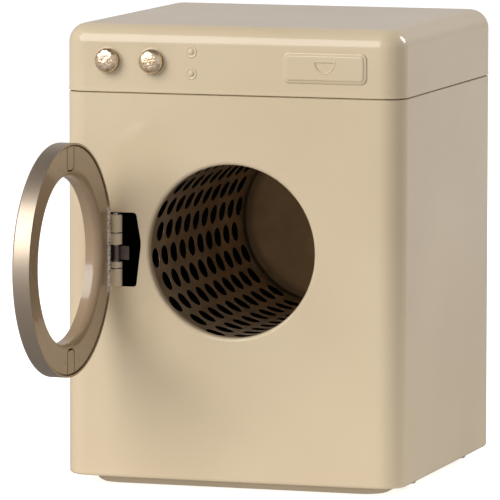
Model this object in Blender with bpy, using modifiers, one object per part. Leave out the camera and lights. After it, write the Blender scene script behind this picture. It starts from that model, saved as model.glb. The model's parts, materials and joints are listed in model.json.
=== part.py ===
"""Toy washing machine of painted sheet metal, about doll's house scale.

Metres, +Z up. The front faces -Y, and the origin is the middle of the base tray's underside.
The door stands open, as it does at rest, and turns about +Z to shut.
"""

import math

import bmesh
import bpy
from mathutils import Matrix, Vector

# Whole cabinet
CABINET_WIDTH = 0.0947
CABINET_DEPTH = 0.0925
CABINET_HEIGHT = 0.125
CORNER_RADIUS = 0.0065    # upright corners, and the lid's top edge
SHEET = 0.0006            # wall of every painted pressing
SEAT_GAP = 0.0003         # between pieces that touch
CUT_OVERRUN = 0.002       # how far a cutter runs past what it cuts

# Body shell
BODY_BOTTOM_Z = 0.0027
BODY_EDGE_ROUND = 0.0009
LID_HEIGHT = 0.01805
LID_SEAM_GAP = 0.0005
JOGGLE_RISE = 0.00035     # where the body's wall steps in under the lid
COLLAR_TOP = 0.0036       # how far the stepped-in collar reaches above the lid's lower edge

# Base tray
TRAY_INSET = 0.006
TRAY_EDGE_ROUND = 0.0022
TRAY_CORNER_RADIUS = 0.0054
TRAY_SCREW_INSET = 0.0033
TRAY_SCREW_SPACING = 0.05

# Front opening
OPENING_BELOW_SEAM = 0.04205
OPENING_RADIUS = 0.02325
OPENING_ROUND = 0.001
OPENING_LIP_DEPTH = 0.0023

# Drum
DRUM_STEP = 0.00075       # drum's bore beyond the opening's
DRUM_WALL = 0.0003
DRUM_FRONT_GAP = 0.0006
DRUM_ROW_SPACING = 0.00685  # round the wall
DRUM_HOLES_PER_ROW = 10
DRUM_HOLE_RADIUS = 0.00275
DRUM_FACET_MARGIN = 0.0004
DRUM_FIRST_HOLE = 0.009   # from the front panel's face to the first hole's middle
DRUM_END_MARGIN = 0.0003  # from the last holes' edge to the end disc
DRUM_DISC_SHEET = 0.0006
DRUM_DISC_FLANGE = 0.0018
DRUM_FIRST_ROW = math.radians(189.5)

# Spindle and its bearing
SPINDLE_RADIUS = 0.002
SPINDLE_HEAD_RADIUS = 0.004
SPINDLE_HEAD_HEIGHT = 0.0011
SPINDLE_END = 0.0005      # spindle left standing behind its clip
SHAFT_CLEARANCE = 0.00008
GROOVE_DEPTH = 0.00035
GROOVE_PLAY = 0.0001
SPACER_RADIUS = 0.0042
SPACER_LENGTH = 0.0007
BUSH_WALL = 0.0008
BUSH_FLANGE_WIDTH = 0.0015
BUSH_FLANGE_THICKNESS = 0.0006
BUSH_TAIL = 0.0004
WASHER_WIDTH = 0.0021
WASHER_THICKNESS = 0.0004
CLIP_WIDTH = 0.0017
CLIP_THICKNESS = 0.0005
CUP_DEPTH = 0.00155
CUP_FLOOR_RADIUS = 0.009
CUP_MOUTH_RADIUS = 0.0105
CUP_FLANGE_WIDTH = 0.005

# Rear panel
REAR_MARGIN_SIDE = 0.0139
REAR_MARGIN_TOP = 0.008
REAR_MARGIN_BOTTOM = 0.0138
REAR_PANEL_LAP = 0.004
REAR_CORNER = 0.004

# Fasteners
SCREW_RADIUS = 0.0008
SCREW_HEAD_RADIUS = 0.0016
SCREW_HEAD_HEIGHT = 0.0008
SCREW_LENGTH = 0.0025
SCREW_TIP = 0.0003
SCREW_SLOT_WIDTH = 0.0004
SCREW_SLOT_DEPTH = 0.0003
RIVET_RADIUS = 0.0006
RIVET_HEAD_RADIUS = 0.0012
RIVET_HEAD_HEIGHT = 0.0003
HOLE_CLEARANCE = 0.0002

# Control panel, pressed into the lid
PANEL_BELOW_TOP = 0.0096  # from the top down to the knobs' axes
KNOB_FROM_SIDE = 0.01295
KNOB_SPACING = 0.0124
KNOB_RADIUS = 0.00335
KNOB_SKIRT = 0.0007
KNOB_DOME = 0.0016
KNOB_SHAFT_RADIUS = 0.0012
KNOB_SHAFT_END = 0.0005
KNOB_BOSS_RADIUS = 0.0042
KNOB_BOSS_HEIGHT = 0.00035
KNOB_BOSS_SLOPE = 0.0004
KNOB_RING_WIDTH = 0.0013  # of the washer and the clip behind each knob
BUTTON_FROM_KNOB = 0.0109
BUTTON_SPACING = 0.0058
BUTTON_DROP = 0.00015     # pair's middle below the knobs' axes
BUTTON_RADIUS = 0.0011
BUTTON_HEIGHT = 0.00045
BUTTON_RING_WIDTH = 0.0004
BUTTON_RING_DEPTH = 0.00025
DRAWER_FROM_SIDE = 0.02115
DRAWER_BELOW_TOP = 0.0103
DRAWER_WIDTH = 0.0232
DRAWER_HEIGHT = 0.0081
DRAWER_CORNER = 0.0013
DRAWER_STEP = 0.0003      # height of each of its two raised steps
DRAWER_STEP_IN = 0.0008   # how far the second step stands in from the first
GRIP_WIDTH = 0.006
GRIP_HEIGHT = 0.0034
GRIP_ABOVE_MIDDLE = 0.002
GRIP_DEPTH = 0.0004

# Door
DOOR_OPEN_ANGLE = math.radians(91.8)
DOOR_LAP = 0.00775        # ring's edge beyond the opening
DOOR_HOLE_STEP = 0.00115  # ring's hole within the opening
DOOR_DEPTH = 0.0049
DOOR_SHEET = 0.0005
DOOR_EDGE_ROUND = 0.0007
LINER_RECESS = 0.0006     # liner's face below the ring's rim
LINER_PLATE = 0.0008
LINER_SKIRT = 0.0017
TONGUE_WIDTH = 0.0042
TONGUE_SLIT = 0.0005
TONGUE_ROOT = 0.0012      # from the liner's hole to the tongue's slit

# Hinge
PIN_TO_FLAT = 0.0032      # from the pin's axis to the ring's flat side
PIN_RADIUS = 0.00075
PIN_STAND = 0.0005        # pin left standing above the knuckles
KNUCKLE_RADIUS = 0.0017
FIXED_LOW_HEIGHT = 0.0046  # knuckles on the pin, from the lowest up
DOOR_LOW_HEIGHT = 0.0016
STRIP_HEIGHT = 0.0041
FIXED_HIGH_HEIGHT = 0.003
DOOR_HIGH_HEIGHT = 0.0047
PIN_FOOT_DROP = 0.0102    # from the opening's middle down to the pin's lower end
LEAF_REACH = 0.005        # leaf's flat plate, inwards from the ring's flat side
LEAF_HEIGHT = 0.02
LEAF_ARM = 0.0021         # straight start of each arm
STRIP_SHEET = 0.00025
STRIP_EYE_PLAY = 0.00015
STRIP_TAIL = 0.0036
STRIP_REACH = 0.0048
BRACKET_FROM_SIDE = 0.0052  # clear of the cabinet's round corner
SLOT_END_PLAY = 0.00015   # above and below the pin
SLOT_SIDE_PLAY = 0.0004   # left of the knuckles
SLOT_REACH = 0.0068       # from the pin's axis to the right
SLOT_BULGE = 0.0013
SLOT_BRIDGE = 0.00125     # metal left between the slot and the opening

# Smoothness
RING_SEGMENTS = 64
ROUND_SEGMENTS = 20
SMALL_SEGMENTS = 12
HOLE_SEGMENTS = 8
CORNER_SEGMENTS = 4
MERGE_DISTANCE = 0.000001
FLAT_ANGLE = math.radians(0.05)
SMOOTH_ANGLE = math.radians(35)

# Places that follow from the sizes
FRONT_Y = -CABINET_DEPTH / 2
REAR_Y = CABINET_DEPTH / 2
LEFT_X = -CABINET_WIDTH / 2
RIGHT_X = CABINET_WIDTH / 2
SEAM_Z = CABINET_HEIGHT - LID_HEIGHT
SHOULDER_Z = SEAM_Z - LID_SEAM_GAP
OPENING_Z = SEAM_Z - OPENING_BELOW_SEAM
COLLAR_INSET = SHEET + SEAT_GAP
TRAY_FLANGE_Z = BODY_BOTTOM_Z + SHEET + SEAT_GAP
HINGE_X = -(OPENING_RADIUS + OPENING_ROUND + SLOT_BRIDGE + SLOT_REACH)
KNUCKLES = {"fixed_low": FIXED_LOW_HEIGHT, "door_low": DOOR_LOW_HEIGHT, "strip": STRIP_HEIGHT,
            "fixed_high": FIXED_HIGH_HEIGHT, "door_high": DOOR_HIGH_HEIGHT}
PIN_HEIGHT = sum(KNUCKLES.values()) + (len(KNUCKLES) - 1) * SEAT_GAP + PIN_STAND
HINGE_FOOT_Z = OPENING_Z - PIN_FOOT_DROP
KNOB_Z = CABINET_HEIGHT - PANEL_BELOW_TOP
DRUM_ROWS = 2 * round(math.pi * (OPENING_RADIUS + DRUM_STEP) / DRUM_ROW_SPACING)

# Down the drum's axis, from the rear panel forwards
PANEL_BACK_Y = REAR_Y - SHEET - SEAT_GAP
CUP_BACK_Y = PANEL_BACK_Y - SHEET - SEAT_GAP
CUP_FRONT_Y = CUP_BACK_Y - SHEET - CUP_DEPTH
BUSH_FRONT_Y = CUP_FRONT_Y - SEAT_GAP - BUSH_FLANGE_THICKNESS
SPACER_FRONT_Y = BUSH_FRONT_Y - SEAT_GAP - SPACER_LENGTH
DISC_FRONT_Y = SPACER_FRONT_Y - SEAT_GAP - DRUM_DISC_SHEET
BUSH_BACK_Y = CUP_FRONT_Y + SHEET + BUSH_TAIL
WASHER_FRONT_Y = BUSH_BACK_Y + SEAT_GAP
CLIP_FRONT_Y = WASHER_FRONT_Y + WASHER_THICKNESS + SEAT_GAP

for old in list(bpy.data.objects):
    bpy.data.objects.remove(old, do_unlink=True)

washer_parts = bpy.data.collections.new("toy_washing_machine")
cutter_parts = bpy.data.collections.new("cutters")
bpy.context.scene.collection.children.link(washer_parts)
bpy.context.scene.collection.children.link(cutter_parts)

# Colour, roughness and metallic value of each finish
FINISHES = {
    "cream_paint": ((0.66, 0.52, 0.37), 0.42, 0.0),
    "tray_paint": ((0.5, 0.39, 0.27), 0.5, 0.0),
    "champagne": ((0.62, 0.46, 0.34), 0.32, 0.9),
    "tan_plastic": ((0.36, 0.25, 0.16), 0.15, 0.0),
    "brass": ((0.72, 0.5, 0.3), 0.25, 1.0),
    "drum_steel": ((0.3, 0.24, 0.2), 0.4, 0.8),
    "disc_steel": ((0.34, 0.26, 0.18), 0.45, 0.7),
    "steel": ((0.45, 0.44, 0.43), 0.35, 1.0),
    "spring_steel": ((0.08, 0.07, 0.07), 0.35, 0.9),
    "white_plastic": ((0.75, 0.72, 0.66), 0.5, 0.0),
}


def finish(name, kind):
    colour, roughness, metallic = FINISHES[kind]
    made = bpy.data.materials.new(name)
    made.use_nodes = True
    shader = made.node_tree.nodes["Principled BSDF"]
    shader.inputs["Base Color"].default_value = (*colour, 1.0)
    shader.inputs["Roughness"].default_value = roughness
    shader.inputs["Metallic"].default_value = metallic
    made.diffuse_color = (*colour, 1.0)
    return made


def keep(name, mesh, kind, parent=None, location=(0, 0, 0), rotation=(0, 0, 0)):
    """Put a copy of a mesh in the scene as one named piece with its own material."""
    own = mesh.copy()
    own.name = name
    own.materials.clear()
    own.materials.append(finish(name, kind))
    own.shade_smooth()
    own.set_sharp_from_angle(angle=SMOOTH_ANGLE)
    piece = bpy.data.objects.new(name, own)
    washer_parts.objects.link(piece)
    piece.location = location
    piece.rotation_euler = rotation
    piece.parent = parent
    return piece


def pivot(name, location, turn=0):
    """An empty on a joint's axis, which carries what moves on it."""
    empty = bpy.data.objects.new(name, None)
    empty.location = location
    empty.rotation_euler = (0, 0, turn)
    washer_parts.objects.link(empty)
    return empty


def outward(bm):
    """A mesh from a bmesh, its corners welded and its faces all pointing out."""
    bmesh.ops.remove_doubles(bm, verts=bm.verts, dist=MERGE_DISTANCE)
    bmesh.ops.recalc_face_normals(bm, faces=bm.faces)
    mesh = bpy.data.meshes.new("work")
    bm.to_mesh(mesh)
    bm.free()
    return mesh


def evaluated(drawn):
    """The mesh of an object after its modifiers, in world places; the object goes."""
    bpy.context.view_layer.update()
    depsgraph = bpy.context.evaluated_depsgraph_get()
    mesh = bpy.data.meshes.new_from_object(drawn.evaluated_get(depsgraph))
    mesh.transform(drawn.matrix_world)
    bpy.data.objects.remove(drawn, do_unlink=True)
    bm = bmesh.new()
    bm.from_mesh(mesh)
    bpy.data.meshes.remove(mesh)
    return bm


def combine(mesh, tool_mesh, operation):
    """Join or cut two closed meshes exactly."""
    base = bpy.data.objects.new("base", mesh)
    tool = bpy.data.objects.new("tool", tool_mesh)
    washer_parts.objects.link(base)
    cutter_parts.objects.link(tool)
    tool.hide_render = True
    tool.display_type = "WIRE"
    boolean = base.modifiers.new("combine", "BOOLEAN")
    boolean.operation = operation
    boolean.solver = "EXACT"
    boolean.object = tool
    bm = evaluated(base)
    bpy.data.objects.remove(tool, do_unlink=True)
    bmesh.ops.remove_doubles(bm, verts=bm.verts, dist=MERGE_DISTANCE)
    bmesh.ops.dissolve_limit(bm, angle_limit=FLAT_ANGLE, verts=bm.verts, edges=bm.edges)
    return outward(bm)


def cut(mesh, tool_mesh):
    return combine(mesh, tool_mesh, "DIFFERENCE")


def join(mesh, tool_mesh):
    return combine(mesh, tool_mesh, "UNION")


def gather(meshes):
    """Meshes that don't touch each other, as one."""
    bm = bmesh.new()
    for mesh in meshes:
        bm.from_mesh(mesh)
    return outward(bm)


# Turns that lay a shape made along Z along another axis
ALONG = {
    "x": Matrix.Rotation(math.pi / 2, 4, "Y"),
    "y": Matrix.Rotation(-math.pi / 2, 4, "X"),
    "z": Matrix.Identity(4),
}


def box(x_range, y_range, z_range):
    """A box between three pairs of limits."""
    low, high = (Vector(corner) for corner in zip(x_range, y_range, z_range))
    bm = bmesh.new()
    bmesh.ops.create_cube(bm, size=1)
    bmesh.ops.scale(bm, vec=high - low, verts=bm.verts)
    bmesh.ops.translate(bm, vec=(low + high) / 2, verts=bm.verts)
    return outward(bm)


def cone(start_radius, end_radius, start, end, axis="y", segments=SMALL_SEGMENTS, place=(0, 0, 0)):
    """A cone or cylinder that runs along one axis, from start to end, moved to its place."""
    bm = bmesh.new()
    bmesh.ops.create_cone(bm, cap_ends=True, segments=segments, radius1=start_radius,
                          radius2=end_radius, depth=end - start)
    bmesh.ops.translate(bm, vec=(0, 0, (start + end) / 2), verts=bm.verts)
    bmesh.ops.transform(bm, matrix=Matrix.Translation(place) @ ALONG[axis], verts=bm.verts)
    return outward(bm)


def cylinder(radius, start, end, axis="y", segments=SMALL_SEGMENTS, place=(0, 0, 0)):
    return cone(radius, radius, start, end, axis, segments, place)


def turned(profile, axis="y", segments=ROUND_SEGMENTS, place=(0, 0, 0)):
    """A closed outline of (radius, distance along the axis), turned round that axis.

    The outline runs down the outer side, from the axis' far end to its near end.
    """
    bm = bmesh.new()
    points = [bm.verts.new((radius, 0, along)) for radius, along in profile]
    for first, second in zip(points, points[1:]):
        bm.edges.new((first, second))
    if profile[0][0] > 0:
        bm.edges.new((points[-1], points[0]))
    mesh = bpy.data.meshes.new("profile")
    bm.to_mesh(mesh)
    bm.free()
    drawn = bpy.data.objects.new("profile", mesh)
    washer_parts.objects.link(drawn)
    screw = drawn.modifiers.new("turn", "SCREW")
    screw.steps = segments
    screw.render_steps = segments
    screw.use_merge_vertices = True
    screw.merge_threshold = MERGE_DISTANCE
    bm = evaluated(drawn)
    bmesh.ops.transform(bm, matrix=Matrix.Translation(place) @ ALONG[axis], verts=bm.verts)
    return outward(bm)


def tube(inner, outer, start, end, axis="y", segments=ROUND_SEGMENTS, place=(0, 0, 0)):
    return turned([(outer, end), (outer, start), (inner, start), (inner, end)], axis, segments, place)


def arc(middle, radius, start, end, steps):
    """Points along an arc, both ends included."""
    return [
        (middle[0] + radius * math.cos(start + (end - start) * step / steps),
         middle[1] + radius * math.sin(start + (end - start) * step / steps))
        for step in range(steps + 1)
    ]


def rounded_outline(middle, width, height, radius):
    """A rectangle with round corners, as points."""
    points = []
    for quarter, (side, rise) in enumerate(((1, 1), (-1, 1), (-1, -1), (1, -1))):
        corner = (middle[0] + side * (width / 2 - radius), middle[1] + rise * (height / 2 - radius))
        points += arc(corner, radius, quarter * math.pi / 2, (quarter + 1) * math.pi / 2, CORNER_SEGMENTS)
    return points


def plate(outline, start, end, axis):
    """A flat outline, filled, from start to end along an axis.

    Along Z its points are (x, y), and along Y they are (x, z).
    """
    curve = bpy.data.curves.new("outline", "CURVE")
    curve.dimensions = "2D"
    curve.fill_mode = "BOTH"
    curve.extrude = (end - start) / 2
    spline = curve.splines.new("POLY")
    spline.points.add(len(outline) - 1)
    for point, (first, second) in zip(spline.points, outline):
        point.co = (first, second, 0, 1)
    spline.use_cyclic_u = True
    drawn = bpy.data.objects.new("outline", curve)
    washer_parts.objects.link(drawn)
    middle = (start + end) / 2
    if axis == "y":
        drawn.rotation_euler = (math.pi / 2, 0, 0)
        drawn.location = (0, middle, 0)
    else:
        drawn.location = (0, 0, middle)
    bm = evaluated(drawn)
    bmesh.ops.remove_doubles(bm, verts=bm.verts, dist=MERGE_DISTANCE)
    bmesh.ops.dissolve_limit(bm, angle_limit=FLAT_ANGLE, verts=bm.verts, edges=bm.edges)
    return outward(bm)


def sheet(bm, thickness):
    """Give an open surface its thickness, inwards."""
    bmesh.ops.recalc_face_normals(bm, faces=bm.faces)
    middle = sum((vert.co for vert in bm.verts), Vector()) / len(bm.verts)
    outwardness = sum(face.calc_area() * face.normal.dot(face.calc_center_median() - middle)
                      for face in bm.faces)
    if outwardness < 0:
        bmesh.ops.reverse_faces(bm, faces=bm.faces)
    surface = bpy.data.meshes.new("surface")
    bm.to_mesh(surface)
    bm.free()
    drawn = bpy.data.objects.new("surface", surface)
    washer_parts.objects.link(drawn)
    solidify = drawn.modifiers.new("sheet", "SOLIDIFY")
    solidify.thickness = thickness
    solidify.offset = -1
    solidify.use_even_offset = True
    return outward(evaluated(drawn))


def pressing(corner_radius, levels, thickness, closed_foot):
    """A box-shaped pressing, its wall drawn through levels of (inset from the cabinet's plan, height)."""
    inset, height = levels[0]
    half = Vector((CABINET_WIDTH / 2 - inset, CABINET_DEPTH / 2 - inset, 1))
    bm = bmesh.new()
    bmesh.ops.create_grid(bm, x_segments=1, y_segments=1, size=1)
    bmesh.ops.scale(bm, vec=half, verts=bm.verts)
    bmesh.ops.translate(bm, vec=(0, 0, height), verts=bm.verts)
    bmesh.ops.bevel(bm, geom=bm.verts[:], offset=corner_radius, offset_type="OFFSET",
                    segments=CORNER_SEGMENTS, profile=0.5, affect="VERTICES")
    rim = bm.edges[:]
    foot = bm.faces[:]
    for inset, height in levels[1:]:
        raised = bmesh.ops.extrude_edge_only(bm, edges=rim)["geom"]
        fresh = {item for item in raised if isinstance(item, bmesh.types.BMVert)}
        rim = [item for item in raised if isinstance(item, bmesh.types.BMEdge)
               and fresh.issuperset(item.verts)]
        for vert in fresh:
            vert.co.x *= (CABINET_WIDTH / 2 - inset) / half.x
            vert.co.y *= (CABINET_DEPTH / 2 - inset) / half.y
            vert.co.z = height
        half = Vector((CABINET_WIDTH / 2 - inset, CABINET_DEPTH / 2 - inset, 1))
    if not closed_foot:
        bmesh.ops.delete(bm, geom=foot, context="FACES_ONLY")
    return sheet(bm, thickness)


def edge_levels(inset, height, radius):
    """Levels round a bottom edge, from under the piece up to its upright wall."""
    return [(inset + radius - reach, height + radius + rise)
            for reach, rise in arc((0, 0), radius, -math.pi / 2, 0, CORNER_SEGMENTS)]


def screw_holes(places, start, end, axis):
    return gather([cylinder(SCREW_RADIUS + HOLE_CLEARANCE, start, end, axis, SMALL_SEGMENTS, place)
                   for place in places])


# Where the fasteners stand
TRAY_SCREWS = [(side * (CABINET_WIDTH / 2 - TRAY_SCREW_INSET), end * TRAY_SCREW_SPACING / 2, 0)
               for side in (-1, 1) for end in (-1, 1)]
WINDOW_WIDTH = CABINET_WIDTH - 2 * REAR_MARGIN_SIDE
WINDOW_LOW = BODY_BOTTOM_Z + REAR_MARGIN_BOTTOM
WINDOW_HIGH = SHOULDER_Z - REAR_MARGIN_TOP
WINDOW_HEIGHT = WINDOW_HIGH - WINDOW_LOW
WINDOW_MIDDLE = (0, (WINDOW_LOW + WINDOW_HIGH) / 2)
REAR_SCREWS = [(side * (WINDOW_WIDTH + REAR_PANEL_LAP) / 2, 0,
                WINDOW_MIDDLE[1] + end * (WINDOW_HEIGHT + REAR_PANEL_LAP) / 2)
               for side in (-1, 1) for end in (-1, 1)]
RIVET_RING = CUP_MOUTH_RADIUS + CUP_FLANGE_WIDTH / 2
CUP_RIVETS = [(x, 0, z) for x, z in arc((0, OPENING_Z), RIVET_RING, math.pi / 2, math.pi * 11 / 6, 2)]


def hinge_slot():
    """Cutter for the front panel's hinge slot, its right side bowed out."""
    left = HINGE_X - KNUCKLE_RADIUS - SLOT_SIDE_PLAY
    low = HINGE_FOOT_Z - SLOT_END_PLAY
    high = HINGE_FOOT_Z + PIN_HEIGHT + SLOT_END_PLAY
    right = HINGE_X + SLOT_REACH
    half = (high - low) / 2
    bow_radius = (half ** 2 + SLOT_BULGE ** 2) / (2 * SLOT_BULGE)
    bow_angle = math.asin(half / bow_radius)
    bow = arc((right - bow_radius, (low + high) / 2), bow_radius, -bow_angle, bow_angle, 2 * CORNER_SEGMENTS)
    return plate([(left, high), (left, low), *bow], FRONT_Y - CUT_OVERRUN, FRONT_Y + SHEET + SEAT_GAP / 2, "y")


def opening_profile(y_far):
    """Outline of the opening's cutter: straight through the lip, then flared to the front face."""
    flare = [(OPENING_RADIUS + OPENING_ROUND - reach, FRONT_Y + OPENING_ROUND - rise)
             for reach, rise in arc((0, 0), OPENING_ROUND, 0, math.pi / 2, CORNER_SEGMENTS)]
    mouth = (OPENING_RADIUS + OPENING_ROUND, FRONT_Y - CUT_OVERRUN)
    return [(0, y_far), (OPENING_RADIUS, y_far), *flare, mouth, (0, FRONT_Y - CUT_OVERRUN)]


def make_cabinet_shell():
    flange = TRAY_INSET - SEAT_GAP
    levels = [
        (flange, BODY_BOTTOM_Z),
        *edge_levels(0, BODY_BOTTOM_Z, BODY_EDGE_ROUND),
        (0, SHOULDER_Z),
        (COLLAR_INSET, SHOULDER_Z + JOGGLE_RISE),
        (COLLAR_INSET, SEAM_Z + COLLAR_TOP),
    ]
    foot_corner = CORNER_RADIUS * (CABINET_WIDTH / 2 - flange) / (CABINET_WIDTH / 2)
    shell = pressing(foot_corner, levels, SHEET, closed_foot=False)
    middle = (0, 0, OPENING_Z)
    lip = cylinder(OPENING_RADIUS + SHEET, FRONT_Y + SHEET / 2, FRONT_Y + OPENING_LIP_DEPTH, "y",
                   RING_SEGMENTS, middle)
    shell = join(shell, lip)
    shell = cut(shell, turned(opening_profile(FRONT_Y + OPENING_LIP_DEPTH + CUT_OVERRUN), "y",
                              RING_SEGMENTS, middle))
    shell = cut(shell, hinge_slot())
    window = rounded_outline(WINDOW_MIDDLE, WINDOW_WIDTH, WINDOW_HEIGHT, REAR_CORNER)
    shell = cut(shell, plate(window, REAR_Y - SHEET - CUT_OVERRUN, REAR_Y + CUT_OVERRUN, "y"))
    shell = cut(shell, screw_holes(REAR_SCREWS, REAR_Y - SHEET - CUT_OVERRUN, REAR_Y + CUT_OVERRUN, "y"))
    shell = cut(shell, screw_holes(TRAY_SCREWS, BODY_BOTTOM_Z - CUT_OVERRUN,
                                   BODY_BOTTOM_Z + SHEET + CUT_OVERRUN, "z"))
    keep("cabinet_shell", shell, "cream_paint")


def make_base_tray():
    levels = [
        *edge_levels(TRAY_INSET, 0, TRAY_EDGE_ROUND),
        (TRAY_INSET, TRAY_FLANGE_Z),
        (SHEET + SEAT_GAP, TRAY_FLANGE_Z),
    ]
    tray = pressing(TRAY_CORNER_RADIUS, levels, SHEET, closed_foot=True)
    tray = cut(tray, screw_holes(TRAY_SCREWS, TRAY_FLANGE_Z - CUT_OVERRUN,
                                 TRAY_FLANGE_Z + SHEET + CUT_OVERRUN, "z"))
    keep("base_tray", tray, "tray_paint")


def knob_places():
    first = LEFT_X + KNOB_FROM_SIDE
    return {"left": (first, FRONT_Y, KNOB_Z), "right": (first + KNOB_SPACING, FRONT_Y, KNOB_Z)}


def button_places():
    x = knob_places()["right"][0] + BUTTON_FROM_KNOB
    middle = KNOB_Z - BUTTON_DROP
    return [(x, 0, middle + end * BUTTON_SPACING / 2) for end in (-1, 1)]


def drawer_block(inset, height, back):
    """One raised step of the drawer's front, or the hollow behind it."""
    middle = (RIGHT_X - DRAWER_FROM_SIDE, CABINET_HEIGHT - DRAWER_BELOW_TOP)
    outline = rounded_outline(middle, DRAWER_WIDTH - 2 * inset, DRAWER_HEIGHT - 2 * inset,
                              DRAWER_CORNER - inset / 2)
    return plate(outline, FRONT_Y - height, back, "y")


def grip_cutter():
    """Half-moon finger grip with its straight side on top."""
    x = RIGHT_X - DRAWER_FROM_SIDE
    top = CABINET_HEIGHT - DRAWER_BELOW_TOP + GRIP_ABOVE_MIDDLE
    bowl = [(x + GRIP_WIDTH / 2 * across, top + GRIP_HEIGHT * down)
            for across, down in arc((0, 0), 1, math.pi, 2 * math.pi, 3 * CORNER_SEGMENTS)]
    face = FRONT_Y - 2 * DRAWER_STEP
    return plate(bowl, face - CUT_OVERRUN, face + GRIP_DEPTH, "y")


def dome(radius, height, y, steps, segments, place):
    """A dome that stands forward of y, on a short foot behind it."""
    rings = [(radius * math.cos(angle), y - height * math.sin(angle))
             for angle in (step * math.pi / 2 / steps for step in range(steps))]
    return turned([(0, y + SHEET / 2), (radius, y + SHEET / 2), *rings, (0, y - height)], "y", segments, place)


def make_top_lid():
    bm = bmesh.new()
    bmesh.ops.create_cube(bm, size=1)
    bmesh.ops.scale(bm, vec=(CABINET_WIDTH, CABINET_DEPTH, LID_HEIGHT), verts=bm.verts)
    bmesh.ops.translate(bm, vec=(0, 0, SEAM_Z + LID_HEIGHT / 2), verts=bm.verts)
    middle_z = SEAM_Z + LID_HEIGHT / 2
    open_side = [face for face in bm.faces if all(vert.co.z < middle_z for vert in face.verts)]
    bmesh.ops.delete(bm, geom=open_side, context="FACES_ONLY")
    rounded = [edge for edge in bm.edges if any(vert.co.z > middle_z for vert in edge.verts)]
    bmesh.ops.bevel(bm, geom=rounded, offset=CORNER_RADIUS, offset_type="OFFSET",
                    segments=CORNER_SEGMENTS, profile=0.5, affect="EDGES")
    lid = sheet(bm, SHEET)
    lid = join(lid, drawer_block(0, DRAWER_STEP, FRONT_Y + SHEET / 2))
    lid = join(lid, drawer_block(DRAWER_STEP_IN, 2 * DRAWER_STEP, FRONT_Y + SHEET / 2))
    lid = cut(lid, drawer_block(DRAWER_STEP_IN + SHEET / 2, DRAWER_STEP - SHEET / 2,
                                FRONT_Y + SHEET + CUT_OVERRUN))
    lid = cut(lid, grip_cutter())
    bosses = [cone(KNOB_BOSS_RADIUS - KNOB_BOSS_SLOPE, KNOB_BOSS_RADIUS, -KNOB_BOSS_HEIGHT, 0, "y",
                   ROUND_SEGMENTS, place) for place in knob_places().values()]
    roots = [cylinder(KNOB_BOSS_RADIUS, 0, SHEET / 2, "y", ROUND_SEGMENTS, place)
             for place in knob_places().values()]
    for boss, root in zip(bosses, roots):
        lid = join(lid, join(root, boss))
    holes = [cylinder(KNOB_SHAFT_RADIUS + SHAFT_CLEARANCE, -CUT_OVERRUN, SHEET + CUT_OVERRUN, "y",
                      ROUND_SEGMENTS, place) for place in knob_places().values()]
    lid = cut(lid, gather(holes))
    for place in button_places():
        ring = tube(BUTTON_RADIUS, BUTTON_RADIUS + BUTTON_RING_WIDTH, FRONT_Y - CUT_OVERRUN,
                    FRONT_Y + BUTTON_RING_DEPTH, "y", SMALL_SEGMENTS, place)
        lid = cut(lid, ring)
        lid = join(lid, dome(BUTTON_RADIUS, BUTTON_HEIGHT, FRONT_Y, 3, SMALL_SEGMENTS, place))
    keep("top_lid", lid, "cream_paint")


def make_rear_panel():
    outline = rounded_outline(WINDOW_MIDDLE, WINDOW_WIDTH + 2 * REAR_PANEL_LAP,
                              WINDOW_HEIGHT + 2 * REAR_PANEL_LAP, REAR_CORNER)
    front = PANEL_BACK_Y - SHEET
    panel = plate(outline, front, PANEL_BACK_Y, "y")
    window = cylinder(CUP_MOUTH_RADIUS + HOLE_CLEARANCE, front - CUT_OVERRUN, PANEL_BACK_Y + CUT_OVERRUN,
                      "y", ROUND_SEGMENTS, (0, 0, OPENING_Z))
    panel = cut(panel, window)
    panel = cut(panel, screw_holes(REAR_SCREWS, front - CUT_OVERRUN, PANEL_BACK_Y + CUT_OVERRUN, "y"))
    panel = cut(panel, rivet_holes(front - CUT_OVERRUN, PANEL_BACK_Y + CUT_OVERRUN))
    keep("rear_panel", panel, "cream_paint")


def rivet_holes(start, end):
    return gather([cylinder(RIVET_RADIUS + HOLE_CLEARANCE, start, end, "y", HOLE_SEGMENTS, place)
                   for place in CUP_RIVETS])


def screw_mesh():
    """A slotted screw along Z, its head below the seat at the origin."""
    head_low = -SEAT_GAP - SCREW_HEAD_HEIGHT
    profile = [
        (0, SCREW_LENGTH),
        (SCREW_RADIUS - SCREW_TIP, SCREW_LENGTH),
        (SCREW_RADIUS, SCREW_LENGTH - SCREW_TIP),
        (SCREW_RADIUS, -SEAT_GAP),
        (SCREW_HEAD_RADIUS, -SEAT_GAP),
        (SCREW_HEAD_RADIUS, head_low + SCREW_HEAD_HEIGHT / 2),
        (SCREW_HEAD_RADIUS - SCREW_TIP, head_low),
        (0, head_low),
    ]
    reach = SCREW_HEAD_RADIUS + CUT_OVERRUN
    slot = box((-reach, reach), (-SCREW_SLOT_WIDTH / 2, SCREW_SLOT_WIDTH / 2),
               (head_low - CUT_OVERRUN, head_low + SCREW_SLOT_DEPTH))
    return cut(turned(profile, "z", SMALL_SEGMENTS), slot)


def make_screws():
    screw = screw_mesh()
    for number, (x, y, z) in enumerate(TRAY_SCREWS, 1):
        keep(f"base_tray_screw_{number}", screw, "steel", location=(x, y, BODY_BOTTOM_Z))
    for number, (x, y, z) in enumerate(REAR_SCREWS, 1):
        keep(f"rear_panel_screw_{number}", screw, "steel", location=(x, REAR_Y, z),
             rotation=(math.pi / 2, 0, 0))


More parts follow.
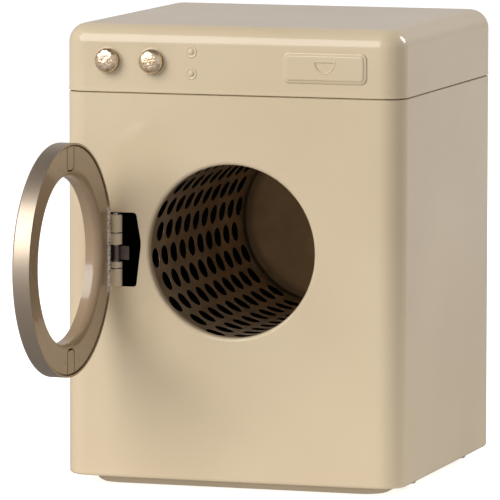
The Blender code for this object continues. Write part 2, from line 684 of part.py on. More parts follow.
def make_bearing():
    middle = (0, 0, OPENING_Z)
    hole = SPINDLE_RADIUS + SHAFT_CLEARANCE + BUSH_WALL + HOLE_CLEARANCE
    flange_radius = CUP_MOUTH_RADIUS + CUP_FLANGE_WIDTH
    cup_profile = [
        (CUP_FLOOR_RADIUS - SHEET / 2, CUP_FRONT_Y + SHEET),
        (CUP_MOUTH_RADIUS - SHEET / 2, CUP_BACK_Y),
        (flange_radius, CUP_BACK_Y),
        (flange_radius, CUP_BACK_Y - SHEET),
        (CUP_MOUTH_RADIUS + SHEET / 2, CUP_BACK_Y - SHEET),
        (CUP_FLOOR_RADIUS + SHEET / 2, CUP_FRONT_Y),
        (hole, CUP_FRONT_Y),
        (hole, CUP_FRONT_Y + SHEET),
    ]
    cup = turned(cup_profile, "y", ROUND_SEGMENTS, middle)
    cup = cut(cup, rivet_holes(CUP_FRONT_Y - CUT_OVERRUN, CUP_BACK_Y + CUT_OVERRUN))
    keep("bearing_cup", cup, "cream_paint")

    bore = SPINDLE_RADIUS + SHAFT_CLEARANCE
    bush_profile = [
        (bore + BUSH_WALL, BUSH_BACK_Y),
        (bore + BUSH_WALL, BUSH_FRONT_Y + BUSH_FLANGE_THICKNESS),
        (bore + BUSH_WALL + BUSH_FLANGE_WIDTH, BUSH_FRONT_Y + BUSH_FLANGE_THICKNESS),
        (bore + BUSH_WALL + BUSH_FLANGE_WIDTH, BUSH_FRONT_Y),
        (bore, BUSH_FRONT_Y),
        (bore, BUSH_BACK_Y),
    ]
    keep("bearing_bush", turned(bush_profile, "y", ROUND_SEGMENTS, middle), "white_plastic")

    outer = PANEL_BACK_Y + SEAT_GAP
    inner = CUP_BACK_Y - SHEET - SEAT_GAP
    rivet_profile = [
        (0, outer + RIVET_HEAD_HEIGHT),
        (RIVET_HEAD_RADIUS, outer + RIVET_HEAD_HEIGHT),
        (RIVET_HEAD_RADIUS, outer),
        (RIVET_RADIUS, outer),
        (RIVET_RADIUS, inner),
        (RIVET_HEAD_RADIUS, inner),
        (RIVET_HEAD_RADIUS, inner - RIVET_HEAD_HEIGHT),
        (0, inner - RIVET_HEAD_HEIGHT),
    ]
    rivet = turned(rivet_profile, "y", SMALL_SEGMENTS)
    for number, place in enumerate(CUP_RIVETS, 1):
        keep(f"bearing_cup_rivet_{number}", rivet, "steel", location=place)


def drum_rings(apothem, half_facet):
    """Plan of the drum: one flat facet for each row of holes, with a narrow facet between rows."""
    corner_radius = math.hypot(apothem, half_facet)
    corner_angle = math.atan2(half_facet, apothem)
    step = 2 * math.pi / DRUM_ROWS
    return [
        (corner_radius * math.cos(DRUM_FIRST_ROW + step * row + side * corner_angle),
         corner_radius * math.sin(DRUM_FIRST_ROW + step * row + side * corner_angle))
        for row in range(DRUM_ROWS) for side in (-1, 1)
    ]


def drum_holes(bore):
    """All the drum's holes as one cutter: every other row is moved on by half a pitch."""
    last_hole = DISC_FRONT_Y - DRUM_END_MARGIN - DRUM_HOLE_RADIUS
    pitch = (last_hole - FRONT_Y - DRUM_FIRST_HOLE) / (DRUM_HOLES_PER_ROW - 0.5)
    bm = bmesh.new()
    for row in range(DRUM_ROWS):
        turn = Matrix.Rotation(-DRUM_FIRST_ROW - 2 * math.pi * row / DRUM_ROWS, 4, "Y")
        for hole in range(DRUM_HOLES_PER_ROW):
            y = FRONT_Y + DRUM_FIRST_HOLE + pitch * (hole + (row % 2) / 2)
            place = turn @ Matrix.Translation((bore + DRUM_WALL / 2, y, 0)) @ ALONG["x"]
            bmesh.ops.create_cone(bm, cap_ends=True, segments=HOLE_SEGMENTS, radius1=DRUM_HOLE_RADIUS,
                                  radius2=DRUM_HOLE_RADIUS, depth=DRUM_WALL + CUT_OVERRUN, matrix=place)
    return outward(bm)


def make_drum(axle):
    bore = OPENING_RADIUS + DRUM_STEP
    front = FRONT_Y + OPENING_LIP_DEPTH + DRUM_FRONT_GAP
    back = DISC_FRONT_Y + DRUM_DISC_SHEET + DRUM_DISC_FLANGE
    half_facet = DRUM_HOLE_RADIUS + DRUM_FACET_MARGIN
    outer = drum_rings(bore + DRUM_WALL, half_facet)
    inner = drum_rings(bore, half_facet)
    wall = cut(plate(outer, front, back, "y"), plate(inner, front - CUT_OVERRUN, back + CUT_OVERRUN, "y"))
    keep("drum_shell", cut(wall, drum_holes(bore)), "drum_steel", axle)

    hole = SPINDLE_RADIUS + HOLE_CLEARANCE
    rim = bore - SEAT_GAP
    disc_back = DISC_FRONT_Y + DRUM_DISC_SHEET
    disc_profile = [
        (rim, back),
        (rim, DISC_FRONT_Y),
        (hole, DISC_FRONT_Y),
        (hole, disc_back),
        (rim - DRUM_DISC_SHEET, disc_back),
        (rim - DRUM_DISC_SHEET, back),
    ]
    keep("drum_end_disc", turned(disc_profile, "y", 2 * DRUM_ROWS), "disc_steel", axle)


def ring_groove(radius, start, end):
    """Outline points of a clip's groove in a shaft, from its far side to its near side."""
    return [(radius, end + GROOVE_PLAY), (radius - GROOVE_DEPTH, end + GROOVE_PLAY),
            (radius - GROOVE_DEPTH, start - GROOVE_PLAY), (radius, start - GROOVE_PLAY)]


def make_spindle(axle):
    end = CLIP_FRONT_Y + CLIP_THICKNESS + SPINDLE_END
    head_back = DISC_FRONT_Y - SEAT_GAP
    profile = [
        (0, end),
        (SPINDLE_RADIUS, end),
        *ring_groove(SPINDLE_RADIUS, CLIP_FRONT_Y, CLIP_FRONT_Y + CLIP_THICKNESS),
        (SPINDLE_RADIUS, head_back),
        (SPINDLE_HEAD_RADIUS, head_back),
        (SPINDLE_HEAD_RADIUS, head_back - SPINDLE_HEAD_HEIGHT / 2),
        (SPINDLE_HEAD_RADIUS - SPINDLE_HEAD_HEIGHT / 2, head_back - SPINDLE_HEAD_HEIGHT),
        (0, head_back - SPINDLE_HEAD_HEIGHT),
    ]
    keep("drum_spindle", turned(profile), "steel", axle)
    bore = SPINDLE_RADIUS + SHAFT_CLEARANCE
    spacer = tube(bore, SPACER_RADIUS, SPACER_FRONT_Y, SPACER_FRONT_Y + SPACER_LENGTH)
    keep("spindle_spacer", spacer, "white_plastic", axle)
    washer = tube(bore, bore + WASHER_WIDTH, WASHER_FRONT_Y, WASHER_FRONT_Y + WASHER_THICKNESS)
    keep("spindle_washer", washer, "steel", axle)
    clip_bore = SPINDLE_RADIUS - GROOVE_DEPTH + SHAFT_CLEARANCE
    clip = tube(clip_bore, clip_bore + CLIP_WIDTH, CLIP_FRONT_Y, CLIP_FRONT_Y + CLIP_THICKNESS)
    keep("spindle_clip", clip, "spring_steel", axle)


def make_knobs():
    """Each knob with its shaft, and the washer and clip that hold it behind the panel."""
    foot = -KNOB_BOSS_HEIGHT - SEAT_GAP
    skirt = foot - KNOB_SKIRT
    washer_front = SHEET + SEAT_GAP
    clip_front = washer_front + WASHER_THICKNESS + SEAT_GAP
    clip_back = clip_front + CLIP_THICKNESS
    cap = [(KNOB_RADIUS * math.cos(angle), skirt - KNOB_DOME * math.sin(angle))
           for angle in (step * math.pi / 8 for step in range(4))]
    profile = [
        (0, clip_back + KNOB_SHAFT_END),
        (KNOB_SHAFT_RADIUS, clip_back + KNOB_SHAFT_END),
        *ring_groove(KNOB_SHAFT_RADIUS, clip_front, clip_back),
        (KNOB_SHAFT_RADIUS, foot),
        (KNOB_RADIUS, foot),
        *cap,
        (0, skirt - KNOB_DOME),
    ]
    knob = turned(profile)
    bore = KNOB_SHAFT_RADIUS + SHAFT_CLEARANCE
    washer = tube(bore, bore + KNOB_RING_WIDTH, washer_front, washer_front + WASHER_THICKNESS)
    clip_bore = KNOB_SHAFT_RADIUS - GROOVE_DEPTH + SHAFT_CLEARANCE
    clip = tube(clip_bore, clip_bore + KNOB_RING_WIDTH, clip_front, clip_back)
    for side, place in knob_places().items():
        turning = keep(f"knob_{side}", knob, "brass", location=place)
        keep(f"knob_spring_washer_{side}", washer, "steel", turning)
        keep(f"knob_clip_{side}", clip, "spring_steel", turning)


def d_shape(radius, flat, start, end, segments=RING_SEGMENTS):
    """A disc along Y about the door's middle, cut off flat towards the hinge."""
    bm = bmesh.new()
    bm.from_mesh(cylinder(radius, start, end, "y", segments, (-HINGE_X, 0, OPENING_Z)))
    sliced = bmesh.ops.bisect_plane(bm, geom=bm.verts[:] + bm.edges[:] + bm.faces[:],
                                    plane_co=(flat, 0, 0), plane_no=(-1, 0, 0), clear_outer=True)
    rim = [item for item in sliced["geom_cut"] if isinstance(item, bmesh.types.BMEdge)]
    bmesh.ops.contextual_create(bm, geom=rim)
    return outward(bm)


def rounded_d_shape(radius, flat, start, end, rounding):
    """The same disc with its edge at start rounded."""
    bm = bmesh.new()
    bm.from_mesh(d_shape(radius, flat, start, end))
    face_edges = [edge for edge in bm.edges
                  if all(abs(vert.co.y - start) < MERGE_DISTANCE for vert in edge.verts)]
    bmesh.ops.bevel(bm, geom=face_edges, offset=rounding, offset_type="OFFSET",
                    segments=CORNER_SEGMENTS - 1, profile=0.5, affect="EDGES")
    return outward(bm)


RIM_Y = -SEAT_GAP
RING_FACE_Y = RIM_Y - DOOR_DEPTH
LINER_Y = RIM_Y - LINER_RECESS
LINER_BACK_Y = LINER_Y - LINER_PLATE
DOOR_RADIUS = OPENING_RADIUS + DOOR_LAP
DOOR_HOLE_RADIUS = OPENING_RADIUS - DOOR_HOLE_STEP
LEAF_FRONT_Y = RING_FACE_Y + DOOR_SHEET + SEAT_GAP
LEAF_BACK_Y = LEAF_FRONT_Y + SHEET
STRIP_FRONT_Y = LEAF_BACK_Y + SEAT_GAP
STRIP_BACK_Y = STRIP_FRONT_Y + STRIP_SHEET


def knuckle_range(wanted):
    """Bottom and top of one knuckle in the stack on the pin."""
    low = HINGE_FOOT_Z
    for name, height in KNUCKLES.items():
        if name == wanted:
            return low, low + height
        low += height + SEAT_GAP


def make_door_ring(hinge):
    middle = (-HINGE_X, 0, OPENING_Z)
    ring = rounded_d_shape(DOOR_RADIUS, PIN_TO_FLAT, RING_FACE_Y, RIM_Y, DOOR_EDGE_ROUND)
    hollow = d_shape(DOOR_RADIUS - DOOR_SHEET, PIN_TO_FLAT + DOOR_SHEET, RING_FACE_Y + DOOR_SHEET,
                     RIM_Y + CUT_OVERRUN)
    ring = cut(ring, hollow)
    hole_wall = cylinder(DOOR_HOLE_RADIUS + DOOR_SHEET, RING_FACE_Y + DOOR_SHEET / 2,
                         LINER_BACK_Y - SEAT_GAP, "y", RING_SEGMENTS, middle)
    ring = join(ring, hole_wall)
    ring = cut(ring, cylinder(DOOR_HOLE_RADIUS, RING_FACE_Y - CUT_OVERRUN, RIM_Y, "y", RING_SEGMENTS,
                              middle))
    half = LEAF_HEIGHT / 2 + SEAT_GAP
    slot = box((PIN_TO_FLAT - CUT_OVERRUN, PIN_TO_FLAT + DOOR_SHEET + SEAT_GAP),
               (LEAF_FRONT_Y - SEAT_GAP, LINER_Y + SEAT_GAP), (OPENING_Z - half, OPENING_Z + half))
    keep("door_ring", cut(ring, slot), "champagne", hinge)


def tongue_slits():
    """U-shaped slits that free a snap tongue at the top and bottom of the liner."""
    root = DOOR_HOLE_RADIUS + TONGUE_ROOT
    tip = DOOR_RADIUS - DOOR_SHEET - SEAT_GAP - TONGUE_ROOT
    inner = TONGUE_WIDTH / 2
    outer = inner + TONGUE_SLIT
    u_shape = [(outer, tip), (outer, root), (-outer, root), (-outer, tip), (-inner, tip),
               (-inner, root + TONGUE_SLIT), (inner, root + TONGUE_SLIT), (inner, tip)]
    slits = []
    for up in (-1, 1):
        outline = [(across - HINGE_X, OPENING_Z + up * away) for across, away in u_shape]
        slits.append(plate(outline, LINER_BACK_Y - CUT_OVERRUN, LINER_Y + CUT_OVERRUN, "y"))
    return gather(slits)


def make_door_liner(hinge):
    outer = DOOR_RADIUS - DOOR_SHEET - SEAT_GAP
    skirt_end = LINER_BACK_Y - LINER_SKIRT
    profile = [
        (outer, LINER_Y),
        (outer, skirt_end),
        (outer - LINER_PLATE, skirt_end),
        (outer - LINER_PLATE, LINER_BACK_Y),
        (DOOR_HOLE_RADIUS, LINER_BACK_Y),
        (DOOR_HOLE_RADIUS, LINER_Y),
    ]
    liner = turned(profile, "y", RING_SEGMENTS, (-HINGE_X, 0, OPENING_Z))
    flat = PIN_TO_FLAT + DOOR_SHEET + SEAT_GAP
    beyond = DOOR_RADIUS + CUT_OVERRUN
    liner = cut(liner, box((-HINGE_X - beyond, flat), (skirt_end - CUT_OVERRUN, LINER_Y + CUT_OVERRUN),
                           (OPENING_Z - beyond, OPENING_Z + beyond)))
    keep("door_liner", cut(liner, tongue_slits()), "tan_plastic", hinge)


def make_hinge_leaf(hinge):
    """Leaf inside the ring, with an arm to each of its two knuckles."""
    flat = PIN_TO_FLAT + DOOR_SHEET + SEAT_GAP
    half = LEAF_HEIGHT / 2
    leaf = box((flat, flat + LEAF_REACH), (LEAF_FRONT_Y, LEAF_BACK_Y), (OPENING_Z - half, OPENING_Z + half))
    arm = [
        (0, -KNUCKLE_RADIUS),
        (LEAF_ARM, -KNUCKLE_RADIUS),
        (PIN_TO_FLAT, LEAF_FRONT_Y),
        (flat + SHEET, LEAF_FRONT_Y),
        (flat + SHEET, LEAF_BACK_Y),
        (PIN_TO_FLAT + SHEET / 2, LEAF_BACK_Y),
        (LEAF_ARM + SHEET / 2, SHEET - KNUCKLE_RADIUS),
        (0, SHEET - KNUCKLE_RADIUS),
    ]
    for name in ("door_low", "door_high"):
        low, high = knuckle_range(name)
        leaf = join(leaf, plate(arm, low, high, "z"))
        leaf = join(leaf, cylinder(KNUCKLE_RADIUS, low, high, "z", ROUND_SEGMENTS))
    bore = cylinder(PIN_RADIUS + SHAFT_CLEARANCE, HINGE_FOOT_Z, HINGE_FOOT_Z + PIN_HEIGHT, "z", ROUND_SEGMENTS)
    leaf = cut(leaf, bore)
    hole = cylinder(RIVET_RADIUS + HOLE_CLEARANCE, LEAF_FRONT_Y - SEAT_GAP, LEAF_BACK_Y + SEAT_GAP, "y",
                    SMALL_SEGMENTS, strip_rivet_place())
    keep("door_hinge_leaf", cut(leaf, hole), "cream_paint", hinge)


def strip_rivet_place():
    low, high = knuckle_range("strip")
    return PIN_TO_FLAT + DOOR_SHEET + STRIP_REACH / 2, 0, (low + high) / 2


def make_hinge_strip(hinge):
    """Dark spring strip: root on the leaf, an eye round the pin, and a tail behind the front panel."""
    low, high = knuckle_range("strip")
    eye = PIN_RADIUS + STRIP_EYE_PLAY
    outer = eye + STRIP_SHEET
    root_start = PIN_TO_FLAT + DOOR_SHEET
    root = [
        (0, -outer),
        (LEAF_ARM, -outer),
        (root_start, STRIP_FRONT_Y),
        (root_start + STRIP_REACH, STRIP_FRONT_Y),
        (root_start + STRIP_REACH, STRIP_BACK_Y),
        (root_start + STRIP_SHEET, STRIP_BACK_Y),
        (LEAF_ARM + STRIP_SHEET, -eye),
        (0, -eye),
    ]
    strip = join(cylinder(outer, low, high, "z", ROUND_SEGMENTS), plate(root, low, high, "z"))
    strip = join(strip, box((-outer, -eye), (0, STRIP_TAIL), (low, high)))
    strip = cut(strip, cylinder(eye, low - CUT_OVERRUN, high + CUT_OVERRUN, "z", ROUND_SEGMENTS))
    hole = cylinder(RIVET_RADIUS + HOLE_CLEARANCE, STRIP_FRONT_Y - SEAT_GAP, STRIP_BACK_Y + SEAT_GAP, "y",
                    SMALL_SEGMENTS, strip_rivet_place())
    keep("door_hinge_strip", cut(strip, hole), "spring_steel", hinge)
    head = STRIP_BACK_Y + SEAT_GAP
    rivet_profile = [
        (0, head + RIVET_HEAD_HEIGHT),
        (RIVET_HEAD_RADIUS, head + RIVET_HEAD_HEIGHT),
        (RIVET_HEAD_RADIUS, head),
        (RIVET_RADIUS, head),
        (RIVET_RADIUS, LEAF_FRONT_Y),
        (0, LEAF_FRONT_Y),
    ]
    keep("strip_rivet", turned(rivet_profile, "y", SMALL_SEGMENTS, strip_rivet_place()), "steel", hinge)


def make_hinge_bracket():
    """Plate behind the front panel with the two fixed knuckles, and the pin through them."""
    place = (HINGE_X, FRONT_Y, 0)
    back = (KNUCKLE_RADIUS - SHEET, KNUCKLE_RADIUS)
    edge = -KNUCKLE_RADIUS - SLOT_SIDE_PLAY
    bracket = box((LEFT_X + BRACKET_FROM_SIDE - HINGE_X, edge), back, (HINGE_FOOT_Z, HINGE_FOOT_Z + PIN_HEIGHT))
    for name in ("fixed_low", "fixed_high"):
        low, high = knuckle_range(name)
        bracket = join(bracket, box((edge - SHEET, 0), back, (low, high)))
        bracket = join(bracket, cylinder(KNUCKLE_RADIUS, low, high, "z", ROUND_SEGMENTS))
    bracket = cut(bracket, cylinder(PIN_RADIUS + SHAFT_CLEARANCE, HINGE_FOOT_Z - CUT_OVERRUN,
                                    HINGE_FOOT_Z + PIN_HEIGHT, "z", ROUND_SEGMENTS))
    keep("hinge_bracket", bracket, "cream_paint", location=place)
    pin = cylinder(PIN_RADIUS, HINGE_FOOT_Z, HINGE_FOOT_Z + PIN_HEIGHT, "z", ROUND_SEGMENTS)
    keep("hinge_pin", pin, "steel", location=place)


make_cabinet_shell()
make_base_tray()
make_top_lid()
make_rear_panel()
make_screws()
make_bearing()
drum_axle = pivot("drum_axle", (0, 0, OPENING_Z))
make_drum(drum_axle)
make_spindle(drum_axle)
make_knobs()
make_hinge_bracket()
door_hinge = pivot("door_hinge", (HINGE_X, FRONT_Y, 0), -DOOR_OPEN_ANGLE)
make_door_ring(door_hinge)
make_door_liner(door_hinge)
make_hinge_leaf(door_hinge)
make_hinge_strip(door_hinge)
bpy.context.view_layer.update()
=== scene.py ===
import json
import math

import bmesh
import bpy
from mathutils import Matrix, Vector


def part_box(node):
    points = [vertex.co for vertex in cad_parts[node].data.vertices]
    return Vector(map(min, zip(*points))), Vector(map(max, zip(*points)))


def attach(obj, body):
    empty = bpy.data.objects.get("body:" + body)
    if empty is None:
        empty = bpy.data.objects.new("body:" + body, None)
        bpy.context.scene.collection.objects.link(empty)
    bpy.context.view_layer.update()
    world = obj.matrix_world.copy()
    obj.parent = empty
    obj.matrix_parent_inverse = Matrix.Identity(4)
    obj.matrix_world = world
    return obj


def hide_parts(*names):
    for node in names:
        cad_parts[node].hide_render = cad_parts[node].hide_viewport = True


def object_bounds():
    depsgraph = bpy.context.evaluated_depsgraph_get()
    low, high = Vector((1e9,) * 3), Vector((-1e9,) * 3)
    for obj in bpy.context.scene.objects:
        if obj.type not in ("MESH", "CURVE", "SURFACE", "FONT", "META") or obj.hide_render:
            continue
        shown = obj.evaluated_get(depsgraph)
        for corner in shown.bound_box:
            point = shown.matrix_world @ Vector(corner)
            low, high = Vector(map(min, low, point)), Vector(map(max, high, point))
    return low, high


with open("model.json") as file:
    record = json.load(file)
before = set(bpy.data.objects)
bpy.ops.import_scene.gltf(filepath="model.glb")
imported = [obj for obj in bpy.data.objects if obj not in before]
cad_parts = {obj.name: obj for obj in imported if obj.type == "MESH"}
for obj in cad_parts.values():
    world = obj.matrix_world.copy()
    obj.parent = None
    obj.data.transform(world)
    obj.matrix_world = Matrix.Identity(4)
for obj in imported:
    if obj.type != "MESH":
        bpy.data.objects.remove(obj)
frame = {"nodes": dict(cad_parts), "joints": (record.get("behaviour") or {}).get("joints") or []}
for starter in ("Cube", "Light", "Camera"):
    if starter in bpy.data.objects:
        bpy.data.objects.remove(bpy.data.objects[starter])
cadLow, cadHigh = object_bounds()
joints = {joint["name"]: Vector(joint["pos_m"]) for joint in frame["joints"]}
print("frame loaded:", len(frame["nodes"]), "nodes")

# places that the CAD gives
shellLow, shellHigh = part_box("cabinet_shell")
discLow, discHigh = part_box("drum_end_disc")
drumLow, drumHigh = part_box("drum_shell")
pinLow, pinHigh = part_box("hinge_pin")
hinge = joints["door_hinge"]
openingZ = joints["drum_spin"].z
frontY, rearY, sideX = shellLow.y, shellHigh.y, shellHigh.x
sheetWall = 0.0006        # every painted pressing
doorTurn = math.radians(-91.8)
tiny = 0.000002
loose = 0.00002           # how far off a drawn round its edges may lie
lampAim = Vector((0, 0, 0.06))


def clearAll():
    bpy.ops.object.select_all(action="DESELECT")


def nameIt(name):
    piece = bpy.context.object
    piece.name = piece.data.name = name
    return piece


def settle():
    bpy.ops.object.transform_apply(location=True, rotation=True, scale=True)


def edit(on=True):
    bpy.ops.object.mode_set(mode="EDIT" if on else "OBJECT")


def addBlock(low, high):
    clearAll()
    low, high = Vector(low), Vector(high)
    bpy.ops.mesh.primitive_cube_add(size=1, location=(low + high) / 2, scale=high - low)
    settle()


# facing is the way the round's flat side looks
turns = {"front": (math.pi / 2, 0, 0), "back": (-math.pi / 2, 0, 0)}


def addRound(radius, middle, count, fill="NOTHING", facing="front"):
    bpy.ops.mesh.primitive_circle_add(vertices=count, radius=radius, fill_type=fill, location=middle,
                                      rotation=turns[facing])


def addOutline(middle, width, height, corner=0, steps=6):
    # a rounded rectangle of edges, facing front, in the mesh being edited
    bpy.ops.mesh.primitive_plane_add(size=1, location=middle, rotation=turns["front"])
    bpy.ops.transform.resize(value=(width, 1, height), center_override=middle)
    if corner:
        bpy.ops.mesh.bevel(offset=corner, segments=steps, affect="VERTICES")
    bpy.ops.mesh.delete(type="ONLY_FACE")


def pick(kind, test):
    # chooses corners, edges or faces by a test of each
    bpy.ops.mesh.select_mode(type=kind)
    bpy.ops.mesh.select_all(action="DESELECT")
    mesh = bpy.context.edit_object.data
    bm = bmesh.from_edit_mesh(mesh)
    for item in {"VERT": bm.verts, "EDGE": bm.edges, "FACE": bm.faces}[kind]:
        if test(item):
            item.select_set(True)
    bmesh.update_edit_mesh(mesh)


def within(item, low, high):
    return all(low[axis] - tiny <= vert.co[axis] <= high[axis] + tiny for vert in item.verts for axis in range(3))


def pickLoop(low, high):
    # open edges inside a box
    pick("EDGE", lambda edge: len(edge.link_faces) < 2 and within(edge, low, high))


def pickFlat(axis, place):
    # open edges that lie in one plane
    pick("EDGE", lambda edge: len(edge.link_faces) < 2 and
         all(abs(vert.co[axis] - place) < tiny for vert in edge.verts))


def openPanel(normal):
    # takes the flat faces that look one way, and leaves their edges
    normal = Vector(normal)
    pick("FACE", lambda face: face.normal.dot(normal) > 0.9999)
    bpy.ops.mesh.delete(type="ONLY_FACE")


def fillPanel(axis, place):
    # fills between a panel's border and the outlines drawn on it
    pickFlat(axis, place)
    bpy.ops.mesh.fill(use_beauty=True)


def chosen():
    bm = bmesh.from_edit_mesh(bpy.context.edit_object.data)
    return [vert.co.copy() for vert in bm.verts if vert.select]


def extrude(shift=(0, 0, 0)):
    bpy.ops.mesh.extrude_region_move(TRANSFORM_OT_translate={"value": shift})


def drawRound(middle, radius, steps):
    # the chosen round goes on through each (radius, y)
    y = chosen()[0].y
    for newRadius, newY in steps:
        extrude((0, newY - y, 0))
        grow = newRadius / radius
        bpy.ops.transform.resize(value=(grow, 1, grow), center_override=middle)
        radius, y = newRadius, newY


def drawRim(steps, inset=0):
    # the chosen rim, round the whole cabinet, goes on through each (inset, height)
    z = chosen()[0].z
    for newInset, newZ in steps:
        extrude((0, 0, newZ - z))
        grow = ((sideX - newInset) / (sideX - inset), (rearY - newInset) / (rearY - inset), 1)
        bpy.ops.transform.resize(value=grow, center_override=(0, 0, 0))
        inset, z = newInset, newZ


def turnSolid(name, middle, steps, count=64):
    # a round plate at the first (radius, y from the front panel), drawn on through the others
    clearAll()
    radius, y = steps[0]
    addRound(radius, (middle.x, frontY + y, middle.z), count, "NGON")
    settle()
    solid = nameIt(name)
    edit()
    bpy.ops.mesh.select_all(action="SELECT")
    drawRound(middle, radius, [(newRadius, frontY + newY) for newRadius, newY in steps[1:]])
    bpy.ops.mesh.merge(type="CENTER")
    outwards()
    edit(False)
    return solid


def joinAll(pieces, name):
    clearAll()
    for piece in pieces:
        piece.select_set(True)
    bpy.context.view_layer.objects.active = pieces[0]
    bpy.ops.object.join()
    return nameIt(name)


def quarter(radius, steps=5):
    # how far in and how far along, round a quarter
    return [(radius * (1 - math.cos(step * math.pi / 2 / steps)), radius * math.sin(step * math.pi / 2 / steps))
            for step in range(1, steps + 1)]


def arcPlan(radius, start, end, steps=20):
    return [(radius * math.cos(math.radians(start + (end - start) * step / steps)),
             radius * math.sin(math.radians(start + (end - start) * step / steps))) for step in range(steps + 1)]


def outwards(normal=None):
    bpy.ops.mesh.select_all(action="SELECT")
    bpy.ops.mesh.remove_doubles(threshold=tiny)
    bpy.ops.mesh.normals_make_consistent(inside=False)
    if normal:
        # an open sheet has no inside, so its largest face is asked which way it looks
        mesh = bpy.context.edit_object.data
        bm = bmesh.from_edit_mesh(mesh)
        flat = [face for face in bm.faces if abs(face.normal.dot(Vector(normal))) > 0.9]
        if sum(face.calc_area() * face.normal.dot(Vector(normal)) for face in flat) < 0:
            bpy.ops.mesh.flip_normals()


def addModifier(kind, **settings):
    modifier = bpy.context.object.modifiers.new(kind.lower(), kind)
    for key, value in settings.items():
        setattr(modifier, key, value)
    bpy.ops.object.modifier_apply(modifier=modifier.name)


def thicken(wall, offset=-1):
    addModifier("SOLIDIFY", thickness=wall, offset=offset, use_even_offset=True)


def easeEdges(width):
    addModifier("BEVEL", width=width, segments=2, limit_method="ANGLE", angle_limit=math.radians(50),
                use_clamp_overlap=True, loop_slide=True)


def cutWith(cutter):
    # the cutter is the active piece; the piece it cuts comes back active
    tool = bpy.context.object
    bpy.context.view_layer.objects.active = cutter
    addModifier("BOOLEAN", object=tool, operation="DIFFERENCE", solver="EXACT")
    bpy.data.objects.remove(tool)
    clearAll()
    cutter.select_set(True)


def smooth(angle=35, weighted=True):
    piece = bpy.context.object
    piece.select_set(True)
    bpy.ops.object.shade_smooth_by_angle(angle=math.radians(angle))
    if weighted:
        addModifier("WEIGHTED_NORMAL", keep_sharp=True, weight=80)


def paintInside(piece, lipReach):
    # the sides that look into the cabinet are coloured dark, as painted shade for the cabinet's dark inside; the
    # opening's lip is not
    piece.data.materials.append(insideShadeTin)
    skinDeep = sheetWall * 0.7
    for face in piece.data.polygons:
        x, y, z = face.center
        inner = abs(x) < sideX - skinDeep and abs(y) < rearY - skinDeep
        lip = y < 0 and math.hypot(x, z - openingZ) < lipReach
        if inner and not lip and face.normal.dot((x, y, z - openingZ)) < 0:
            face.material_index = 1


def dress(piece, material, body, slot, *nodes):
    piece.data.materials.clear()
    piece.data.materials.append(material)
    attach(piece, body)
    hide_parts(*nodes)
    print("made", piece.name, len(piece.data.polygons), "faces")
    return piece


def tint(red, green, blue):
    # a colour as a picture editor shows it
    def linear(part):
        part /= 255
        return part / 12.92 if part <= 0.04045 else ((part + 0.055) / 1.055) ** 2.4
    return linear(red), linear(green), linear(blue), 1


def feed(tree, socket, value):
    if isinstance(value, bpy.types.NodeSocket):
        tree.links.new(value, socket)
    else:
        socket.default_value = value


def addNode(tree, kind, inputs=None, **settings):
    made = tree.nodes.new("ShaderNode" + kind)
    for key, value in settings.items():
        setattr(made, key, value)
    for key, value in (inputs or {}).items():
        feed(tree, made.inputs[key], value)
    return made


def mathNode(tree, operation, first, second=0.5):
    return addNode(tree, "Math", {0: first, 1: second}, operation=operation).outputs[0]


def mapRange(tree, value, low, high, newLow, newHigh):
    return addNode(tree, "MapRange", {"Value": value, "From Min": low, "From Max": high, "To Min": newLow,
                                      "To Max": newHigh}).outputs[0]


def mixValues(tree, amount, first, second):
    return addNode(tree, "Mix", {0: amount, 2: first, 3: second}).outputs[0]


def mixColours(tree, amount, first, second):
    mixer = addNode(tree, "Mix", data_type="RGBA")
    feed(tree, mixer.inputs[0], amount)
    feed(tree, mixer.inputs[6], first)
    feed(tree, mixer.inputs[7], second)
    return mixer.outputs[2]


def newGroup(name, ins, outs):
    tree = bpy.data.node_groups.new(name, "ShaderNodeTree")
    for key, value in ins.items():
        socket = tree.interface.new_socket(key, in_out="INPUT", socket_type="NodeSocketFloat")
        socket.default_value = value
    for key in outs:
        tree.interface.new_socket(key, in_out="OUTPUT", socket_type="NodeSocketFloat")
    return tree, tree.nodes.new("NodeGroupInput").outputs, tree.nodes.new("NodeGroupOutput").inputs


def useGroup(tree, group, **inputs):
    made = tree.nodes.new("ShaderNodeGroup")
    made.node_tree = group
    for key, value in inputs.items():
        feed(tree, made.inputs[key], value)
    return made.outputs


def newMaterial(name, **sockets):
    material = bpy.data.materials.new(name)
    material.use_nodes = True
    shader = material.node_tree.nodes["Principled BSDF"]
    for key, value in sockets.items():
        shader.inputs[key.replace("_", " ")].default_value = value
    return material, material.node_tree, shader.inputs


def bumpOf(tree, height, distance):
    return addNode(tree, "Bump", {"Height": height, "Distance": distance, "Strength": 1.0}).outputs[0]


def objectParts(tree):
    # x, y and z of a place on the piece
    return addNode(tree, "SeparateXYZ", {0: addNode(tree, "TexCoord").outputs["Object"]}).outputs


